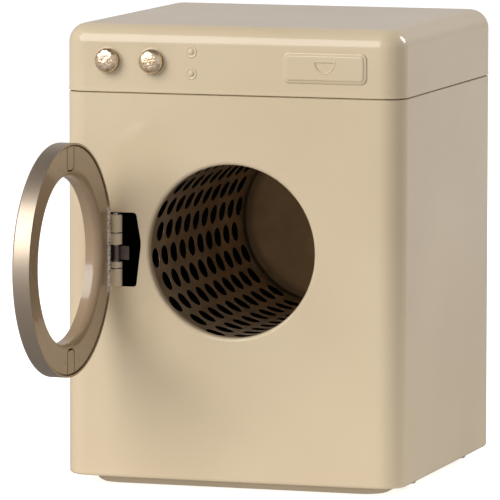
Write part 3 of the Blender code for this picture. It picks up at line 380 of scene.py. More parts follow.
# sprayed and stoved finishes: slow drifts of tone, an orange peel skin and a few specks
def makeSkin():
    tree, ins, outs = newGroup("sprayedSkin", {"drift": 18.0, "peel": 900.0, "specks": 260.0},
                               ["tone", "peel", "speck"])
    place = addNode(tree, "TexCoord").outputs["Object"]
    drift = addNode(tree, "TexNoise", {"Vector": place, "Scale": ins["drift"], "Detail": 3.0, "Roughness": 0.45})
    feed(tree, outs["tone"], mapRange(tree, drift.outputs["Fac"], 0.3, 0.7, 0.0, 1.0))
    peel = addNode(tree, "TexNoise", {"Vector": place, "Scale": ins["peel"], "Detail": 2.0, "Roughness": 0.5})
    feed(tree, outs["peel"], peel.outputs["Fac"])
    specks = addNode(tree, "TexVoronoi", {"Vector": place, "Scale": ins["specks"], "Randomness": 1.0})
    apart = addNode(tree, "SeparateColor", {"Color": specks.outputs["Color"]})
    near = mapRange(tree, specks.outputs["Distance"], 0.03, 0.07, 1.0, 0.0)
    rare = mathNode(tree, "GREATER_THAN", apart.outputs[0], 0.93)     # one cell in fourteen
    feed(tree, outs["speck"], mathNode(tree, "MULTIPLY", near, rare))
    return tree


# rolled and brushed metal: fine streaks one way, blotches of handling all over
def makeGrain():
    tree, ins, outs = newGroup("brushedGrain", {"alongX": 1.0, "alongY": 1.0, "alongZ": 1.0, "fine": 900.0,
                                                "blotch": 70.0}, ["streak", "blotch"])
    place = addNode(tree, "TexCoord").outputs["Object"]
    stretch = addNode(tree, "CombineXYZ", {"X": ins["alongX"], "Y": ins["alongY"], "Z": ins["alongZ"]})
    pulled = addNode(tree, "VectorMath", {0: place, 1: stretch.outputs[0]}, operation="MULTIPLY")
    streak = addNode(tree, "TexNoise", {"Vector": pulled.outputs[0], "Scale": ins["fine"], "Detail": 3.0,
                                        "Roughness": 0.6})
    feed(tree, outs["streak"], streak.outputs["Fac"])
    blotch = addNode(tree, "TexNoise", {"Vector": place, "Scale": ins["blotch"], "Detail": 4.0, "Roughness": 0.6})
    feed(tree, outs["blotch"], mapRange(tree, blotch.outputs["Fac"], 0.3, 0.7, 0.0, 1.0))
    return tree


skin, grain = makeSkin(), makeGrain()
paintLook = {
    "light": (226, 206, 173), "dark": (216, 195, 162), "rough": 0.5, "glaze": 0.75, "glazeRough": 0.07,
    # the dark colour below is painted shade, for sides that look into the cabinet
    "peelDepth": 0.00002, "speck": (120, 96, 72), "speckShare": 0.35, "insideShade": (40, 31, 25),
}
# the base tray: the cabinet's cream made darker, as painted shade under the cabinet, with a duller coat
shadedTrayLook = dict(paintLook, light=(196, 179, 152), dark=(184, 167, 141), glaze=0.2, glazeRough=0.3,
                peelDepth=0.00003)


def makePaint(name, light, dark, rough, glaze, glazeRough, peelDepth, speck, speckShare, insideShade, insideShadeFrom=None):
    # forward of this depth the sheet is coloured dark, as painted shade for the cabinet's dark inside
    paint, tree, into = newMaterial(name, Coat_Roughness=glazeRough, Roughness=rough, Coat_Weight=glaze,
                                    Specular_IOR_Level=0.25)
    surface = useGroup(tree, skin)
    coat = mixColours(tree, surface["tone"], tint(*dark), tint(*light))
    specked = mixColours(tree, mathNode(tree, "MULTIPLY", surface["speck"], speckShare), coat, tint(*speck))
    if insideShadeFrom:
        forward = mapRange(tree, objectParts(tree)["Y"], insideShadeFrom, insideShadeFrom + 0.0001, 1.0, 0.0)
        specked = mixColours(tree, forward, specked, tint(*insideShade))
    feed(tree, into["Base Color"], specked)
    feed(tree, into["Roughness"], mapRange(tree, surface["tone"], 0, 1, rough - 0.04, rough + 0.05))
    feed(tree, into["Normal"], bumpOf(tree, surface["peel"], peelDepth))
    return paint


creamPaint = makePaint("creamEnamel", **paintLook)
# the rear panel's side that faces into the cabinet is coloured dark as painted shade
panelPaint = makePaint("panelEnamel", **paintLook, insideShadeFrom=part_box("rear_panel")[1].y - 0.0003)
shadedTrayPaint = makePaint("shadedTrayEnamel", **shadedTrayLook)

# along the straight side by the hinge the door's two edges get pale spots: a painted highlight along those edges,
# broken up like chipped paint
edgeGlintLook = {"colour": (255, 251, 243), "scale": 1400.0, "least": 0.36, "most": 0.52}


def addEdgeGlint(tree, start, end, body):
    place = addNode(tree, "TexCoord").outputs["Object"]
    # painted highlight: pale spots in a band along the edge by the hinge
    edge = mapRange(tree, objectParts(tree)["Y"], hinge.y - start, hinge.y - end, 0.0, 1.0)
    patchy = addNode(tree, "TexNoise", {"Vector": place, "Scale": edgeGlintLook["scale"], "Detail": 2.0}).outputs[0]
    spots = mapRange(tree, patchy, edgeGlintLook["least"], edgeGlintLook["most"], 0.0, 1.0)
    return mixColours(tree, mathNode(tree, "MULTIPLY", edge, spots), body, tint(*edgeGlintLook["colour"]))


lacquerLook = {
    "light": (192, 176, 156), "dark": (170, 152, 132), "metallic": 0.85, "rough": 0.4, "flake": 4200.0,
    "coat": 0.35, "coatRough": 0.22, "glintStart": 0.0042, "glintEnd": 0.0036,
}


def makeLacquer(name, light, dark, metallic, rough, flake, coat, coatRough, glintStart, glintEnd):
    # metal powder under a clear coat
    lacquer, tree, into = newMaterial(name, Metallic=metallic, Roughness=rough, Coat_Weight=coat,
                                      Coat_Roughness=coatRough)
    surface = useGroup(tree, skin, drift=26.0, peel=flake)
    body = mixColours(tree, surface["tone"], tint(*dark), tint(*light))
    feed(tree, into["Base Color"], addEdgeGlint(tree, glintStart, glintEnd, body))
    feed(tree, into["Roughness"], mapRange(tree, surface["peel"], 0.3, 0.7, rough - 0.03, rough + 0.05))
    feed(tree, into["Normal"], bumpOf(tree, surface["peel"], 0.000006))
    return lacquer


champagne = makeLacquer("champagneLacquer", **lacquerLook)

linerLook = {
    "light": (172, 145, 115), "dark": (160, 134, 105), "rough": 0.24, "coat": 0.6, "coatRough": 0.05,
    "speck": (210, 196, 176), "speckShare": 0.3, "glintStart": 0.0051, "glintEnd": 0.0045,
}


def makeLiner(name, light, dark, rough, coat, coatRough, speck, speckShare, glintStart, glintEnd):
    liner, tree, into = newMaterial(name, Roughness=rough, Coat_Weight=coat, Coat_Roughness=coatRough, IOR=1.5)
    surface = useGroup(tree, skin, drift=30.0, peel=140.0, specks=420.0)
    body = mixColours(tree, surface["tone"], tint(*dark), tint(*light))
    specked = mixColours(tree, mathNode(tree, "MULTIPLY", surface["speck"], speckShare), body, tint(*speck))
    feed(tree, into["Base Color"], addEdgeGlint(tree, glintStart, glintEnd, specked))
    feed(tree, into["Roughness"], mapRange(tree, surface["tone"], 0, 1, rough, rough + 0.08))
    feed(tree, into["Normal"], bumpOf(tree, surface["peel"], 0.00001))
    return liner


tanGloss = makeLiner("tanGlossPlastic", **linerLook)


def fromDrumAxis(tree):
    parts = objectParts(tree)
    above = mathNode(tree, "SUBTRACT", parts["Z"], openingZ)
    squares = mathNode(tree, "ADD", mathNode(tree, "MULTIPLY", parts["X"], parts["X"]),
                       mathNode(tree, "MULTIPLY", above, above))
    return mathNode(tree, "SQRT", squares)


def makeMetal(name, light, dark, rough, metallic, pull, fine=900.0, blotch=70.0, depth=0.000006, edgeShade=None):
    # pull stretches the grain along x, y and z
    metal, tree, into = newMaterial(name, Metallic=metallic, Roughness=rough)
    surface = useGroup(tree, grain, alongX=pull[0], alongY=pull[1], alongZ=pull[2], fine=fine, blotch=blotch)
    body = mixColours(tree, surface["blotch"], tint(*dark), tint(*light))
    # painted shade towards the rim of the drum's end
    if edgeShade:
        edgeShadeMask = mapRange(tree, fromDrumAxis(tree), edgeShade["start"], edgeShade["end"], 0.0, edgeShade["share"])
        body = mixColours(tree, edgeShadeMask, body, tint(*edgeShade["colour"]))
    feed(tree, into["Base Color"], body)
    feed(tree, into["Roughness"], mapRange(tree, surface["streak"], 0.25, 0.75, rough - 0.08, rough + 0.12))
    feed(tree, into["Normal"], bumpOf(tree, surface["streak"], depth))
    return metal


# painted shade: darkens the drum's end outwards, towards the corner where it meets the wall, between two distances
# from the drum's axis
discEdgeShade = {"colour": (30, 22, 16), "start": 0.0205, "end": 0.0235, "share": 0.7}

# name, light, dark, roughness, share of metal, pull
drumMetal = makeMetal("drumSteel", (218, 196, 166), (184, 160, 132), 0.36, 0.6, (1, 0.08, 1))
discMetal = makeMetal("discSteel", (236, 204, 154), (212, 180, 134), 0.5, 0.45, (1, 1, 1), 500.0, edgeShade=discEdgeShade)
# a very dark colour for faces inside the cabinet: painted shade
insideShadeTin = makeMetal("insideShadeTin", (44, 34, 28), (30, 22, 18), 0.6, 0.4, (1, 1, 0.1))
zinc = makeMetal("zincSteel", (196, 194, 190), (170, 167, 162), 0.36, 1.0, (1, 1, 0.2))
darkSpring = makeMetal("blackenedSpring", (112, 102, 96), (64, 56, 52), 0.3, 0.8, (1, 1, 0.1))
brassLook = {
    "light": (255, 238, 208), "dark": (216, 186, 148), "rough": 0.2, "crinkle": 560.0, "depth": 0.0003,
    "footShade": (92, 66, 42), "footShadeFrom": 0.0021, "footShadeTo": 0.001,     # forward of the front panel
}


def makeBrass(name, light, dark, rough, crinkle, depth, footShade, footShadeFrom, footShadeTo):
    # cast metal, crinkled like foil, darker round its foot as painted shade where it meets the panel
    brass, tree, into = newMaterial(name, Metallic=1.0, Roughness=rough)
    surface = useGroup(tree, grain, alongX=1.0, alongY=1.0, alongZ=1.4, fine=crinkle, blotch=900.0)
    # painted shade round the knob's foot, next to the front panel
    foot = mapRange(tree, objectParts(tree)["Y"], frontY - footShadeFrom, frontY - footShadeTo, 0.0, 1.0)
    metal = mixColours(tree, surface["blotch"], tint(*dark), tint(*light))
    feed(tree, into["Base Color"], mixColours(tree, foot, metal, tint(*footShade)))
    feed(tree, into["Roughness"], mapRange(tree, surface["blotch"], 0, 1, rough - 0.06, rough + 0.1))
    feed(tree, into["Normal"], bumpOf(tree, surface["streak"], depth))
    return brass


knobBrass = makeBrass("knobBrass", **brassLook)


def makeNylon(name):
    nylon, tree, into = newMaterial(name, Roughness=0.5, Subsurface_Weight=0.1)
    surface = useGroup(tree, skin, drift=60.0, peel=1500.0)
    feed(tree, into["Base Color"], mixColours(tree, surface["tone"], tint(226, 220, 208), tint(238, 234, 226)))
    feed(tree, into["Normal"], bumpOf(tree, surface["peel"], 0.000008))
    return nylon


nylon = makeNylon("naturalNylon")
print("materials made")

# cabinet shell
shellShape = {
    "corner": 0.0065, "cornerSteps": 14,
    "footRound": 0.0009, "footFlange": 0.0057,
    "shoulder": 0.10645, "collarStart": (0.0001, 0.00012), "collarInset": 0.0009, "collarRise": 0.00035,
    "mouth": 0.02325, "mouthRound": 0.001, "mouthDepth": 0.0027, "mouthSteps": 144, "lipReach": 0.0245,
    "slotLeft": -0.0344, "slotRight": -0.0266, "slotLow": 0.05455, "slotHigh": 0.07455, "slotCorner": 0.0008,
    "slotBow": ((0.0653, 0.0013), (0.067, 0.0013)),     # heights where its right side bows out, and how far
    "windowWide": 0.0669, "windowLow": 0.0165, "windowHigh": 0.09845, "windowCorner": 0.004, "screwHole": 0.001,
}


def roundUprights(corner, steps):
    pick("EDGE", lambda edge: abs(edge.verts[0].co.x - edge.verts[1].co.x) < tiny and
         abs(edge.verts[0].co.y - edge.verts[1].co.y) < tiny)
    bpy.ops.mesh.bevel(offset=corner, segments=steps, profile=0.5, affect="EDGES")


def addHingeSlot(shape):
    left, right, low, high = (shape[key] for key in ("slotLeft", "slotRight", "slotLow", "slotHigh"))
    addOutline(((left + right) / 2, frontY, (low + high) / 2), right - left, high - low)
    pick("EDGE", lambda edge: all((vert.co - Vector((right, frontY, vert.co.z))).length < tiny
                                  for vert in edge.verts))
    bpy.ops.mesh.subdivide(number_cuts=len(shape["slotBow"]))
    for number, (z, bow) in enumerate(shape["slotBow"], 1):
        start = low + (high - low) * number / (len(shape["slotBow"]) + 1)
        pick("VERT", lambda vert: (vert.co - Vector((right, frontY, start))).length < tiny)
        bpy.ops.transform.translate(value=(bow, 0, z - start))
    pick("VERT", lambda vert: left - tiny < vert.co.x < right + tiny and abs(vert.co.y - frontY) < tiny and
         min(abs(vert.co.z - low), abs(vert.co.z - high)) < tiny)
    bpy.ops.mesh.bevel(offset=shape["slotCorner"], segments=4, affect="VERTICES")


def makeShell(shape):
    foot = shellLow.z + shape["footRound"]
    addBlock((-sideX, frontY, foot), (sideX, rearY, shape["shoulder"]))
    shell = nameIt("cabinetShell")
    edit()
    pick("FACE", lambda face: abs(face.normal.z) > 0.9)
    bpy.ops.mesh.delete(type="FACE")
    roundUprights(shape["corner"], shape["cornerSteps"])

    openPanel((0, -1, 0))
    mouth = Vector((0, frontY, openingZ))
    rim = shape["mouth"] + shape["mouthRound"]
    addRound(rim, mouth, shape["mouthSteps"])
    addHingeSlot(shape)
    fillPanel(1, frontY)
    pick("EDGE", lambda edge: all(abs((vert.co - mouth).length - rim) < loose for vert in edge.verts))
    drawRound(mouth, rim, [(rim - along, frontY + reach) for reach, along in quarter(shape["mouthRound"], 6)] +
              [(shape["mouth"], frontY + shape["mouthDepth"])])

    openPanel((0, 1, 0))
    low, high = shape["windowLow"], shape["windowHigh"]
    addOutline((0, rearY, (low + high) / 2), shape["windowWide"], high - low, shape["windowCorner"], 8)
    for number in range(1, 5):
        screwLow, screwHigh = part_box(f"rear_panel_screw_{number}")
        screw = (screwLow + screwHigh) / 2
        addRound(shape["screwHole"], (screw.x, rearY, screw.z), 24)
    fillPanel(1, rearY)

    pickFlat(2, foot)
    drawRim([(inset, foot - drop) for inset, drop in quarter(shape["footRound"])] +
            [(shape["footFlange"], shellLow.z)])
    pickFlat(2, shape["shoulder"])
    inset, shoulder = shape["collarInset"], shape["shoulder"]
    easeInset, easeRise = shape["collarStart"]
    drawRim([(easeInset, shoulder + easeRise), (inset, shoulder + shape["collarRise"]), (inset, shellHigh.z)])
    outwards()
    edit(False)
    thicken(sheetWall)
    smooth()
    dress(shell, creamPaint, "cabinet", "cream_paint", "cabinet_shell")
    paintInside(shell, shape["lipReach"])


makeShell(shellShape)

# lid with the control panel pressed into it; a step's places are (radius, y from the front panel)
lidShape = {
    "low": 0.10695, "corner": 0.0065, "brow": 0.0052, "cornerSteps": 14,
    "skirt": 0.0012, "flare": 0.00007,      # lower edge swells out a little
    "flareCurve": ((0.1, 0.2), (0.45, 0.42), (0.85, 0.65), (1, 0.82), (0.9, 0.94), (0.4, 1)),
    "boss": [(0.00375, 0.0003), (0.00375, -0.0001), (0.0037, -0.0002), (0.00358, -0.00029), (0.0034, -0.00033),
             (0.0031, -0.00035), (0.0001, -0.00035)],
    "buttonX": -0.0111, "buttonZs": (0.11815, 0.11235),
    "button": [(0.00165, 0.0003), (0.00165, -0.00002), (0.0016, -0.0001), (0.00148, -0.00018), (0.00132, -0.00019),
               (0.00114, -0.00012), (0.001, -0.00006), (0.00092, -0.00006)],
    "buttonDome": 0.00088, "buttonRise": 0.00046, "buttonTip": 0.00005,
    "drawer": (0.0262, 0.1147), "drawerWide": 0.0232, "drawerHigh": 0.0083, "drawerCorner": 0.0017,
    "drawerSunk": 0.0003, "drawerFoot": 0.00004,
    "drawerSteps": [(0.00004, 0.00014), (0.0001, 0.00014), (0.00018, 0.00009), (0.00022, 0.00003), (0.0002, 0.0),
                    (0.00004, 0.00012), (0.0001, 0.00012), (0.00018, 0.00008), (0.0003, 0.00003)],
    "gripWide": 0.0062, "gripHigh": 0.0036, "gripTop": 0.11665,
    "gripSteps": [(0.00008, 0.00009), (0.00016, 0.00003), (0.00014, -0.00008), (0.0001, -0.00018),
                  (0.0001, -0.00012)],
}


def makeDrawer(shape):
    x, z = shape["drawer"]
    middle, sunk = (x, frontY + shape["drawerSunk"], z), shape["drawerSunk"]
    clearAll()
    bpy.ops.mesh.primitive_plane_add(size=1, location=middle, rotation=turns["front"])
    settle()
    drawer = nameIt("drawer")
    edit()
    bpy.ops.mesh.select_all(action="SELECT")
    bpy.ops.transform.resize(value=(shape["drawerWide"], 1, shape["drawerHigh"]), center_override=middle)
    bpy.ops.mesh.bevel(offset=shape["drawerCorner"], segments=10, affect="VERTICES")
    pick("FACE", lambda face: True)
    extrude((0, -sunk - shape["drawerFoot"], 0))
    faceY = frontY - shape["drawerFoot"]
    for thickness, depth in shape["drawerSteps"]:
        bpy.ops.mesh.inset(thickness=thickness, depth=depth)
        faceY -= depth
    bpy.ops.mesh.delete(type="ONLY_FACE")
    # half-moon grip: a ring with its upper half pressed flat
    top, wide, high = shape["gripTop"], shape["gripWide"], shape["gripHigh"]
    addRound(wide / 2, (x, faceY, top), 56)
    bpy.ops.transform.resize(value=(1, 1, 2 * high / wide), center_override=(x, faceY, top))
    pick("VERT", lambda vert: not vert.link_faces and vert.co.z > top + tiny)
    bpy.ops.transform.resize(value=(1, 1, 0), center_override=(x, faceY, top))
    fillPanel(1, faceY)
    pickFlat(1, faceY)
    bpy.ops.mesh.edge_face_add()
    bpy.ops.mesh.select_all(action="SELECT")
    bpy.ops.mesh.normals_make_consistent(inside=False)
    pick("FACE", lambda face: len(face.verts) > 30 and within(face, (x - wide, faceY, top - high),
                                                              (x + wide, faceY, top)))
    for thickness, depth in shape["gripSteps"]:
        bpy.ops.mesh.inset(thickness=thickness, depth=depth)
    outwards()
    edit(False)
    return drawer


def makeLid(shape):
    waist = shape["low"] + shape["skirt"]
    addBlock((-sideX, frontY, waist), (sideX, rearY, cadHigh.z))
    lid = nameIt("lid")
    edit()
    pick("FACE", lambda face: face.normal.z < -0.9)
    bpy.ops.mesh.delete(type="FACE")
    roundUprights(shape["corner"], shape["cornerSteps"])
    pick("EDGE", lambda edge: all(vert.co.z > waist + tiny for vert in edge.verts))
    bpy.ops.mesh.bevel(offset=shape["brow"], segments=shape["cornerSteps"], profile=0.5, affect="EDGES")
    pickFlat(2, waist)
    flare, skirt = shape["flare"], shape["skirt"]
    drawRim([(-flare * share, waist - skirt * down) for share, down in shape["flareCurve"]])
    outwards()
    edit(False)
    thicken(sheetWall)

    knobs = [joints["knob_left_turn"], joints["knob_right_turn"]]
    bosses = [turnSolid("boss", knob, shape["boss"]) for knob in knobs]
    radius, rise, foot = shape["buttonDome"], shape["buttonRise"], shape["button"][-1][1]
    dome = [(radius * math.cos(angle), foot - rise * math.sin(angle))
            for angle in [step * math.pi / 18 for step in range(9)]] + [(shape["buttonTip"], foot - rise)]
    buttons = [turnSolid("button", Vector((shape["buttonX"], frontY, z)), shape["button"] + dome, 48)
               for z in shape["buttonZs"]]
    whole = joinAll([lid] + bosses + buttons + [makeDrawer(shape)], "topLid")
    smooth(30)
    return dress(whole, creamPaint, "cabinet", "cream_paint", "top_lid")


makeLid(lidShape)

# knobs, like thick cast coins with a round edge
knobShape = {
    "foot": 0.00065, "skirt": 0.0013, "dome": 0.00295, "radius": 0.00335,   # forward of the front panel
    "shaft": 0.0012, "shaftEnd": 0.0026, "flatness": 0.55, "bulge": 0.9, "footEase": (0.00015, 0.00012),
    "tip": 0.0001,
}


def makeKnob(name, joint, body, node, shape):
    radius, foot, skirt = shape["radius"], shape["foot"], shape["skirt"]
    rise = shape["dome"] - skirt
    easeIn, easeUp = shape["footEase"]
    dome = [(radius * math.cos(angle) ** shape["flatness"], -skirt - rise * math.sin(angle) ** shape["bulge"])
            for angle in [step * math.pi / 40 for step in range(1, 20)]]
    knob = turnSolid(name, joints[joint], [
        (shape["shaft"], shape["shaftEnd"]), (shape["shaft"], -foot), (radius - easeIn, -foot),
        (radius, -foot - easeUp), (radius, -skirt)] + dome + [(shape["tip"], -shape["dome"])])
    smooth(40)
    return dress(knob, knobBrass, body, "brass", node)


makeKnob("knobLeft", "knob_left_turn", "left_knob", "knob_left", knobShape)
makeKnob("knobRight", "knob_right_turn", "right_knob", "knob_right", knobShape)

# drum: one row of holes, its neighbour half a pitch on, eleven pairs, rolled round
drumShape = {
    "bore": 0.024, "wall": 0.00015, "rows": 22, "holes": 10, "holeRadius": 0.0027, "holeLong": 1.08,
    "endMargin": 0.0005, "holeSteps": 24, "firstHole": 0.0083, "firstRow": math.radians(-8),
}


def makeRow(shape, shift):
    # flat, standing in the plane x = 0, with its holes along y
    cell = shape["pitch"] / 6
    across = 2 * math.pi * shape["bore"] / shape["rows"]
    middle = Vector((0, frontY + shape["firstHole"] + shift, 0))
    clearAll()
    bpy.ops.mesh.primitive_grid_add(x_subdivisions=6, y_subdivisions=6, size=1, location=middle,
                                    rotation=(0, math.pi / 2, 0))
    settle()
    edit()
    bpy.ops.transform.resize(value=(1, shape["pitch"], across), center_override=middle)
    pick("VERT", lambda vert: not vert.is_boundary)
    bpy.ops.mesh.delete(type="VERT")
    bpy.ops.mesh.primitive_circle_add(vertices=shape["holeSteps"], radius=shape["holeRadius"], location=middle,
                                      rotation=(0, math.pi / 2, 0), fill_type="NOTHING")
    bpy.ops.transform.resize(value=(1, shape["holeLong"], 1), center_override=middle)
    bpy.ops.mesh.select_mode(type="EDGE")
    bpy.ops.mesh.select_all(action="SELECT")
    bpy.ops.mesh.bridge_edge_loops()
    edit(False)
    addModifier("ARRAY", count=shape["holes"], use_relative_offset=False, use_constant_offset=True,
                constant_offset_displace=(0, shape["pitch"], 0), use_merge_vertices=True, merge_threshold=tiny)
    edit()
    start = middle.y - shape["pitch"] / 2
    end = start + shape["holes"] * shape["pitch"]
    for edgeY, goalY, way in ((start, drumLow.y, -1), (end, drumHigh.y, 1)):
        pickFlat(1, edgeY)
        while abs(goalY - edgeY) > tiny:
            reach = min(cell, abs(goalY - edgeY))
            extrude((0, way * reach, 0))
            edgeY += way * reach
    edit(False)
    return bpy.context.object


def makeDrum(shape):
    across = 2 * math.pi * shape["bore"] / shape["rows"]
    first = makeRow(shape, 0)
    second = makeRow(shape, shape["pitch"] / 2)
    second.location.z = across
    clearAll()
    first.select_set(True)
    second.select_set(True)
    bpy.context.view_layer.objects.active = first
    bpy.ops.object.join()
    pairs = shape["rows"] // 2
    addModifier("ARRAY", count=pairs, use_relative_offset=False, use_constant_offset=True,
                constant_offset_displace=(0, 0, 2 * across), use_merge_vertices=True, merge_threshold=tiny)
    drum = nameIt("drumWall")
    drum.location.z = -across * (shape["rows"] - 1) / 2
    settle()
    addModifier("SIMPLE_DEFORM", deform_method="BEND", deform_axis="Y", angle=2 * math.pi)
    drum.location = (-shape["bore"], 0, 0)
    settle()
    drum.rotation_euler.y = shape["firstRow"] + math.pi / shape["rows"]
    drum.location.z = openingZ
    settle()
    edit()
    outwards()
    edit(False)
    addModifier("SOLIDIFY", thickness=shape["wall"], offset=1)
    smooth(30, weighted=False)
    return dress(drum, drumMetal, "drum", "drum_steel", "drum_shell")


lastHole = discLow.y - drumShape["endMargin"] - drumShape["holeRadius"]
drumShape["pitch"] = (lastHole - frontY - drumShape["firstHole"]) / (drumShape["holes"] - 0.5)
makeDrum(drumShape)

discShape = {"radius": 0.02368, "edgeRound": 0.0009, "midRing": 0.012, "hole": 0.0022, "wall": 0.0003,
             "steps": 128}


def makeDisc(shape):
    # a shallow cup, open towards the mouth
    middle = Vector((0, discLow.y, openingZ))
    clearAll()
    addRound(shape["radius"], middle, shape["steps"])
    settle()
    disc = nameIt("drumDisc")
    edit()
    bpy.ops.mesh.select_all(action="SELECT")
    radius, turn = shape["radius"], shape["edgeRound"]
    floorY = discHigh.y - shape["wall"]
    corner = [(radius - reach, floorY - turn + along) for reach, along in quarter(turn, 8)]
    drawRound(middle, radius, [(radius, floorY - turn)] + corner +
              [(shape["midRing"], floorY), (shape["hole"], floorY)])
    outwards((0, -1, 0))
    edit(False)
    thicken(shape["wall"])
    smooth(30)
    return dress(disc, discMetal, "drum", "disc_steel", "drum_end_disc")


makeDisc(discShape)

# door, made shut with the hinge's axis at the origin, then swung open
ringShape = {
    "middle": -hinge.x, "radius": 0.031, "flat": 0.0032, "rim": -0.0003, "face": -0.0052, "hole": 0.0227,
    "wall": 0.0005, "edgeRound": 0.0007, "holeRound": 0.0005, "tubeEnd": -0.0043, "steps": 180,
    "slotHigh": 0.0103, "slotDeep": (-0.0047, -0.0012), "slotReach": (-0.002, 0.0008), "ease": 0.00008,
}


def swingOpen(piece):
    clearAll()
    piece.select_set(True)
    bpy.context.view_layer.objects.active = piece
    piece.location = (hinge.x, hinge.y, 0)
    piece.rotation_euler.z = doorTurn
    settle()


def addSlicedDisc(name, radius, y, flat, shape, facing):
    clearAll()
    addRound(radius, (shape["middle"], y, openingZ), shape["steps"], "NGON", facing)
    settle()
    disc = nameIt(name)
    edit()
    bpy.ops.mesh.select_all(action="SELECT")
    bpy.ops.mesh.bisect(plane_co=(flat, 0, 0), plane_no=(1, 0, 0), clear_inner=True)
    pick("FACE", lambda face: True)
    return disc


def makeRing(shape):
    ring = addSlicedDisc("doorRing", shape["radius"], shape["rim"], shape["flat"], shape, "front")
    turn = shape["edgeRound"]
    extrude((0, shape["face"] - shape["rim"] + turn, 0))
    reached = (0, 0)
    for reach, along in quarter(turn, 6):
        bpy.ops.mesh.inset(thickness=reach - reached[0], depth=along - reached[1])
        reached = (reach, along)
    bpy.ops.mesh.delete(type="ONLY_FACE")
    pick("FACE", lambda face: all(abs(vert.co.y - shape["rim"]) < tiny for vert in face.verts))
    bpy.ops.mesh.delete(type="ONLY_FACE")
    middle = Vector((shape["middle"], shape["face"], openingZ))
    mouth = shape["hole"] + shape["holeRound"]
    addRound(mouth, middle, shape["steps"])
    fillPanel(1, shape["face"])
    pick("EDGE", lambda edge: all(abs((vert.co - middle).length - mouth) < loose for vert in edge.verts))
    drawRound(middle, mouth, [(mouth - along, shape["face"] + reach) for reach, along in
                              quarter(shape["holeRound"], 6)] + [(shape["hole"], shape["tubeEnd"])])
    outwards((0, -1, 0))
    edit(False)
    thicken(shape["wall"])
    (low, high), (left, right) = shape["slotDeep"], shape["slotReach"]
    addBlock((shape["flat"] + left, low, openingZ - shape["slotHigh"]),
             (shape["flat"] + right, high, openingZ + shape["slotHigh"]))
    cutWith(ring)
    easeEdges(shape["ease"])
    smooth(30)
    swingOpen(ring)
    return dress(ring, champagne, "door", "champagne", "door_ring")


linerShape = {
    "face": -0.0006, "radius": 0.0304, "flat": 0.0038, "wall": 0.0005, "skirtEnd": -0.0033, "edgeRound": 0.0003,
    "hole": 0.0221, "lipRound": 0.0022, "lipEnd": -0.0049,
    "tongueHalf": 0.0025, "slit": 0.00045, "tongueRoot": 0.0237, "tongueTip": 0.0301, "tongueRound": 0.0016,
    "tongueDepth": 0.0045,
}


def cutTongue(liner, shape, up):
    # cut out with a sheet bent like a U, as thick as the slit
    half, turn, root, tip = (shape[key] for key in ("tongueHalf", "tongueRound", "tongueRoot", "tongueTip"))
    corner = arcPlan(turn, 180, 270, 8)
    left = [(-half, tip)] + [(turn - half + across, root + turn + along) for across, along in corner]
    plan = left + [(-across, along) for across, along in reversed(left)]
    middle, depth = ringShape["middle"], shape["tongueDepth"]
    clearAll()
    start = (middle - half + depth / 2, -depth / 2, openingZ + up * tip)
    bpy.ops.mesh.primitive_plane_add(size=depth, location=start)
    settle()
    edit()
    pick("VERT", lambda vert: vert.co.x > middle - half + tiny)
    bpy.ops.mesh.delete(type="VERT")
    pick("EDGE", lambda edge: True)
    for (across, along), (nextAcross, nextAlong) in zip(plan, plan[1:]):
        extrude((nextAcross - across, 0, up * (nextAlong - along)))
    bpy.ops.mesh.select_all(action="SELECT")
    bpy.ops.mesh.normals_make_consistent(inside=False)
    edit(False)
    thicken(shape["slit"], 0)
    edit()
    outwards()
    edit(False)
    cutWith(liner)


def makeLinerPiece(shape):
    # looks back, towards the drum when the door is shut
    liner = addSlicedDisc("doorLiner", shape["radius"], shape["face"], shape["flat"], ringShape, "back")
    turn = shape["edgeRound"]
    bpy.ops.mesh.inset(thickness=turn, depth=0)
    bpy.ops.mesh.delete(type="ONLY_FACE")
    middle = Vector((ringShape["middle"], shape["face"], openingZ))
    lip = shape["lipRound"]
    mouth = shape["hole"] + lip
    addRound(mouth, middle, ringShape["steps"])
    pick("EDGE", lambda edge: all(abs(vert.co.y - shape["face"]) < tiny for vert in edge.verts))
    bm = bmesh.from_edit_mesh(bpy.context.edit_object.data)
    outerLoop = {edge for edge in bm.edges if len(edge.link_faces) == 1 and all(
        (vert.co - middle).length > shape["radius"] - turn / 2 or vert.co.x < shape["flat"] + turn / 2
        for vert in edge.verts)}
    for edge in bm.edges:
        edge.select_set(len(edge.link_faces) < 2 and edge not in outerLoop)
    bmesh.update_edit_mesh(bpy.context.edit_object.data)
    bpy.ops.mesh.fill(use_beauty=True)
    # the border drops a little, as its rounded edge
    pick("VERT", lambda vert: vert.is_boundary and ((vert.co - middle).length > shape["radius"] - turn / 2 or
                                                    vert.co.x < shape["flat"] + turn / 2))
    bpy.ops.transform.translate(value=(0, -turn, 0))
    pickFlat(1, shape["face"] - turn)
    extrude((0, shape["skirtEnd"] - shape["face"] + turn, 0))
    pick("EDGE", lambda edge: all(abs((vert.co - middle).length - mouth) < loose for vert in edge.verts))
    drawRound(middle, mouth, [(mouth - along, shape["face"] - reach) for reach, along in quarter(lip, 10)] +
              [(shape["hole"], shape["lipEnd"])])
    outwards((0, 1, 0))
    edit(False)
    thicken(shape["wall"])
    cutTongue(liner, shape, 1)
    cutTongue(liner, shape, -1)
    smooth(30)
    swingOpen(liner)
    return dress(liner, tanGloss, "door", "tan_plastic", "door_liner")


makeRing(ringShape)
makeLinerPiece(linerShape)

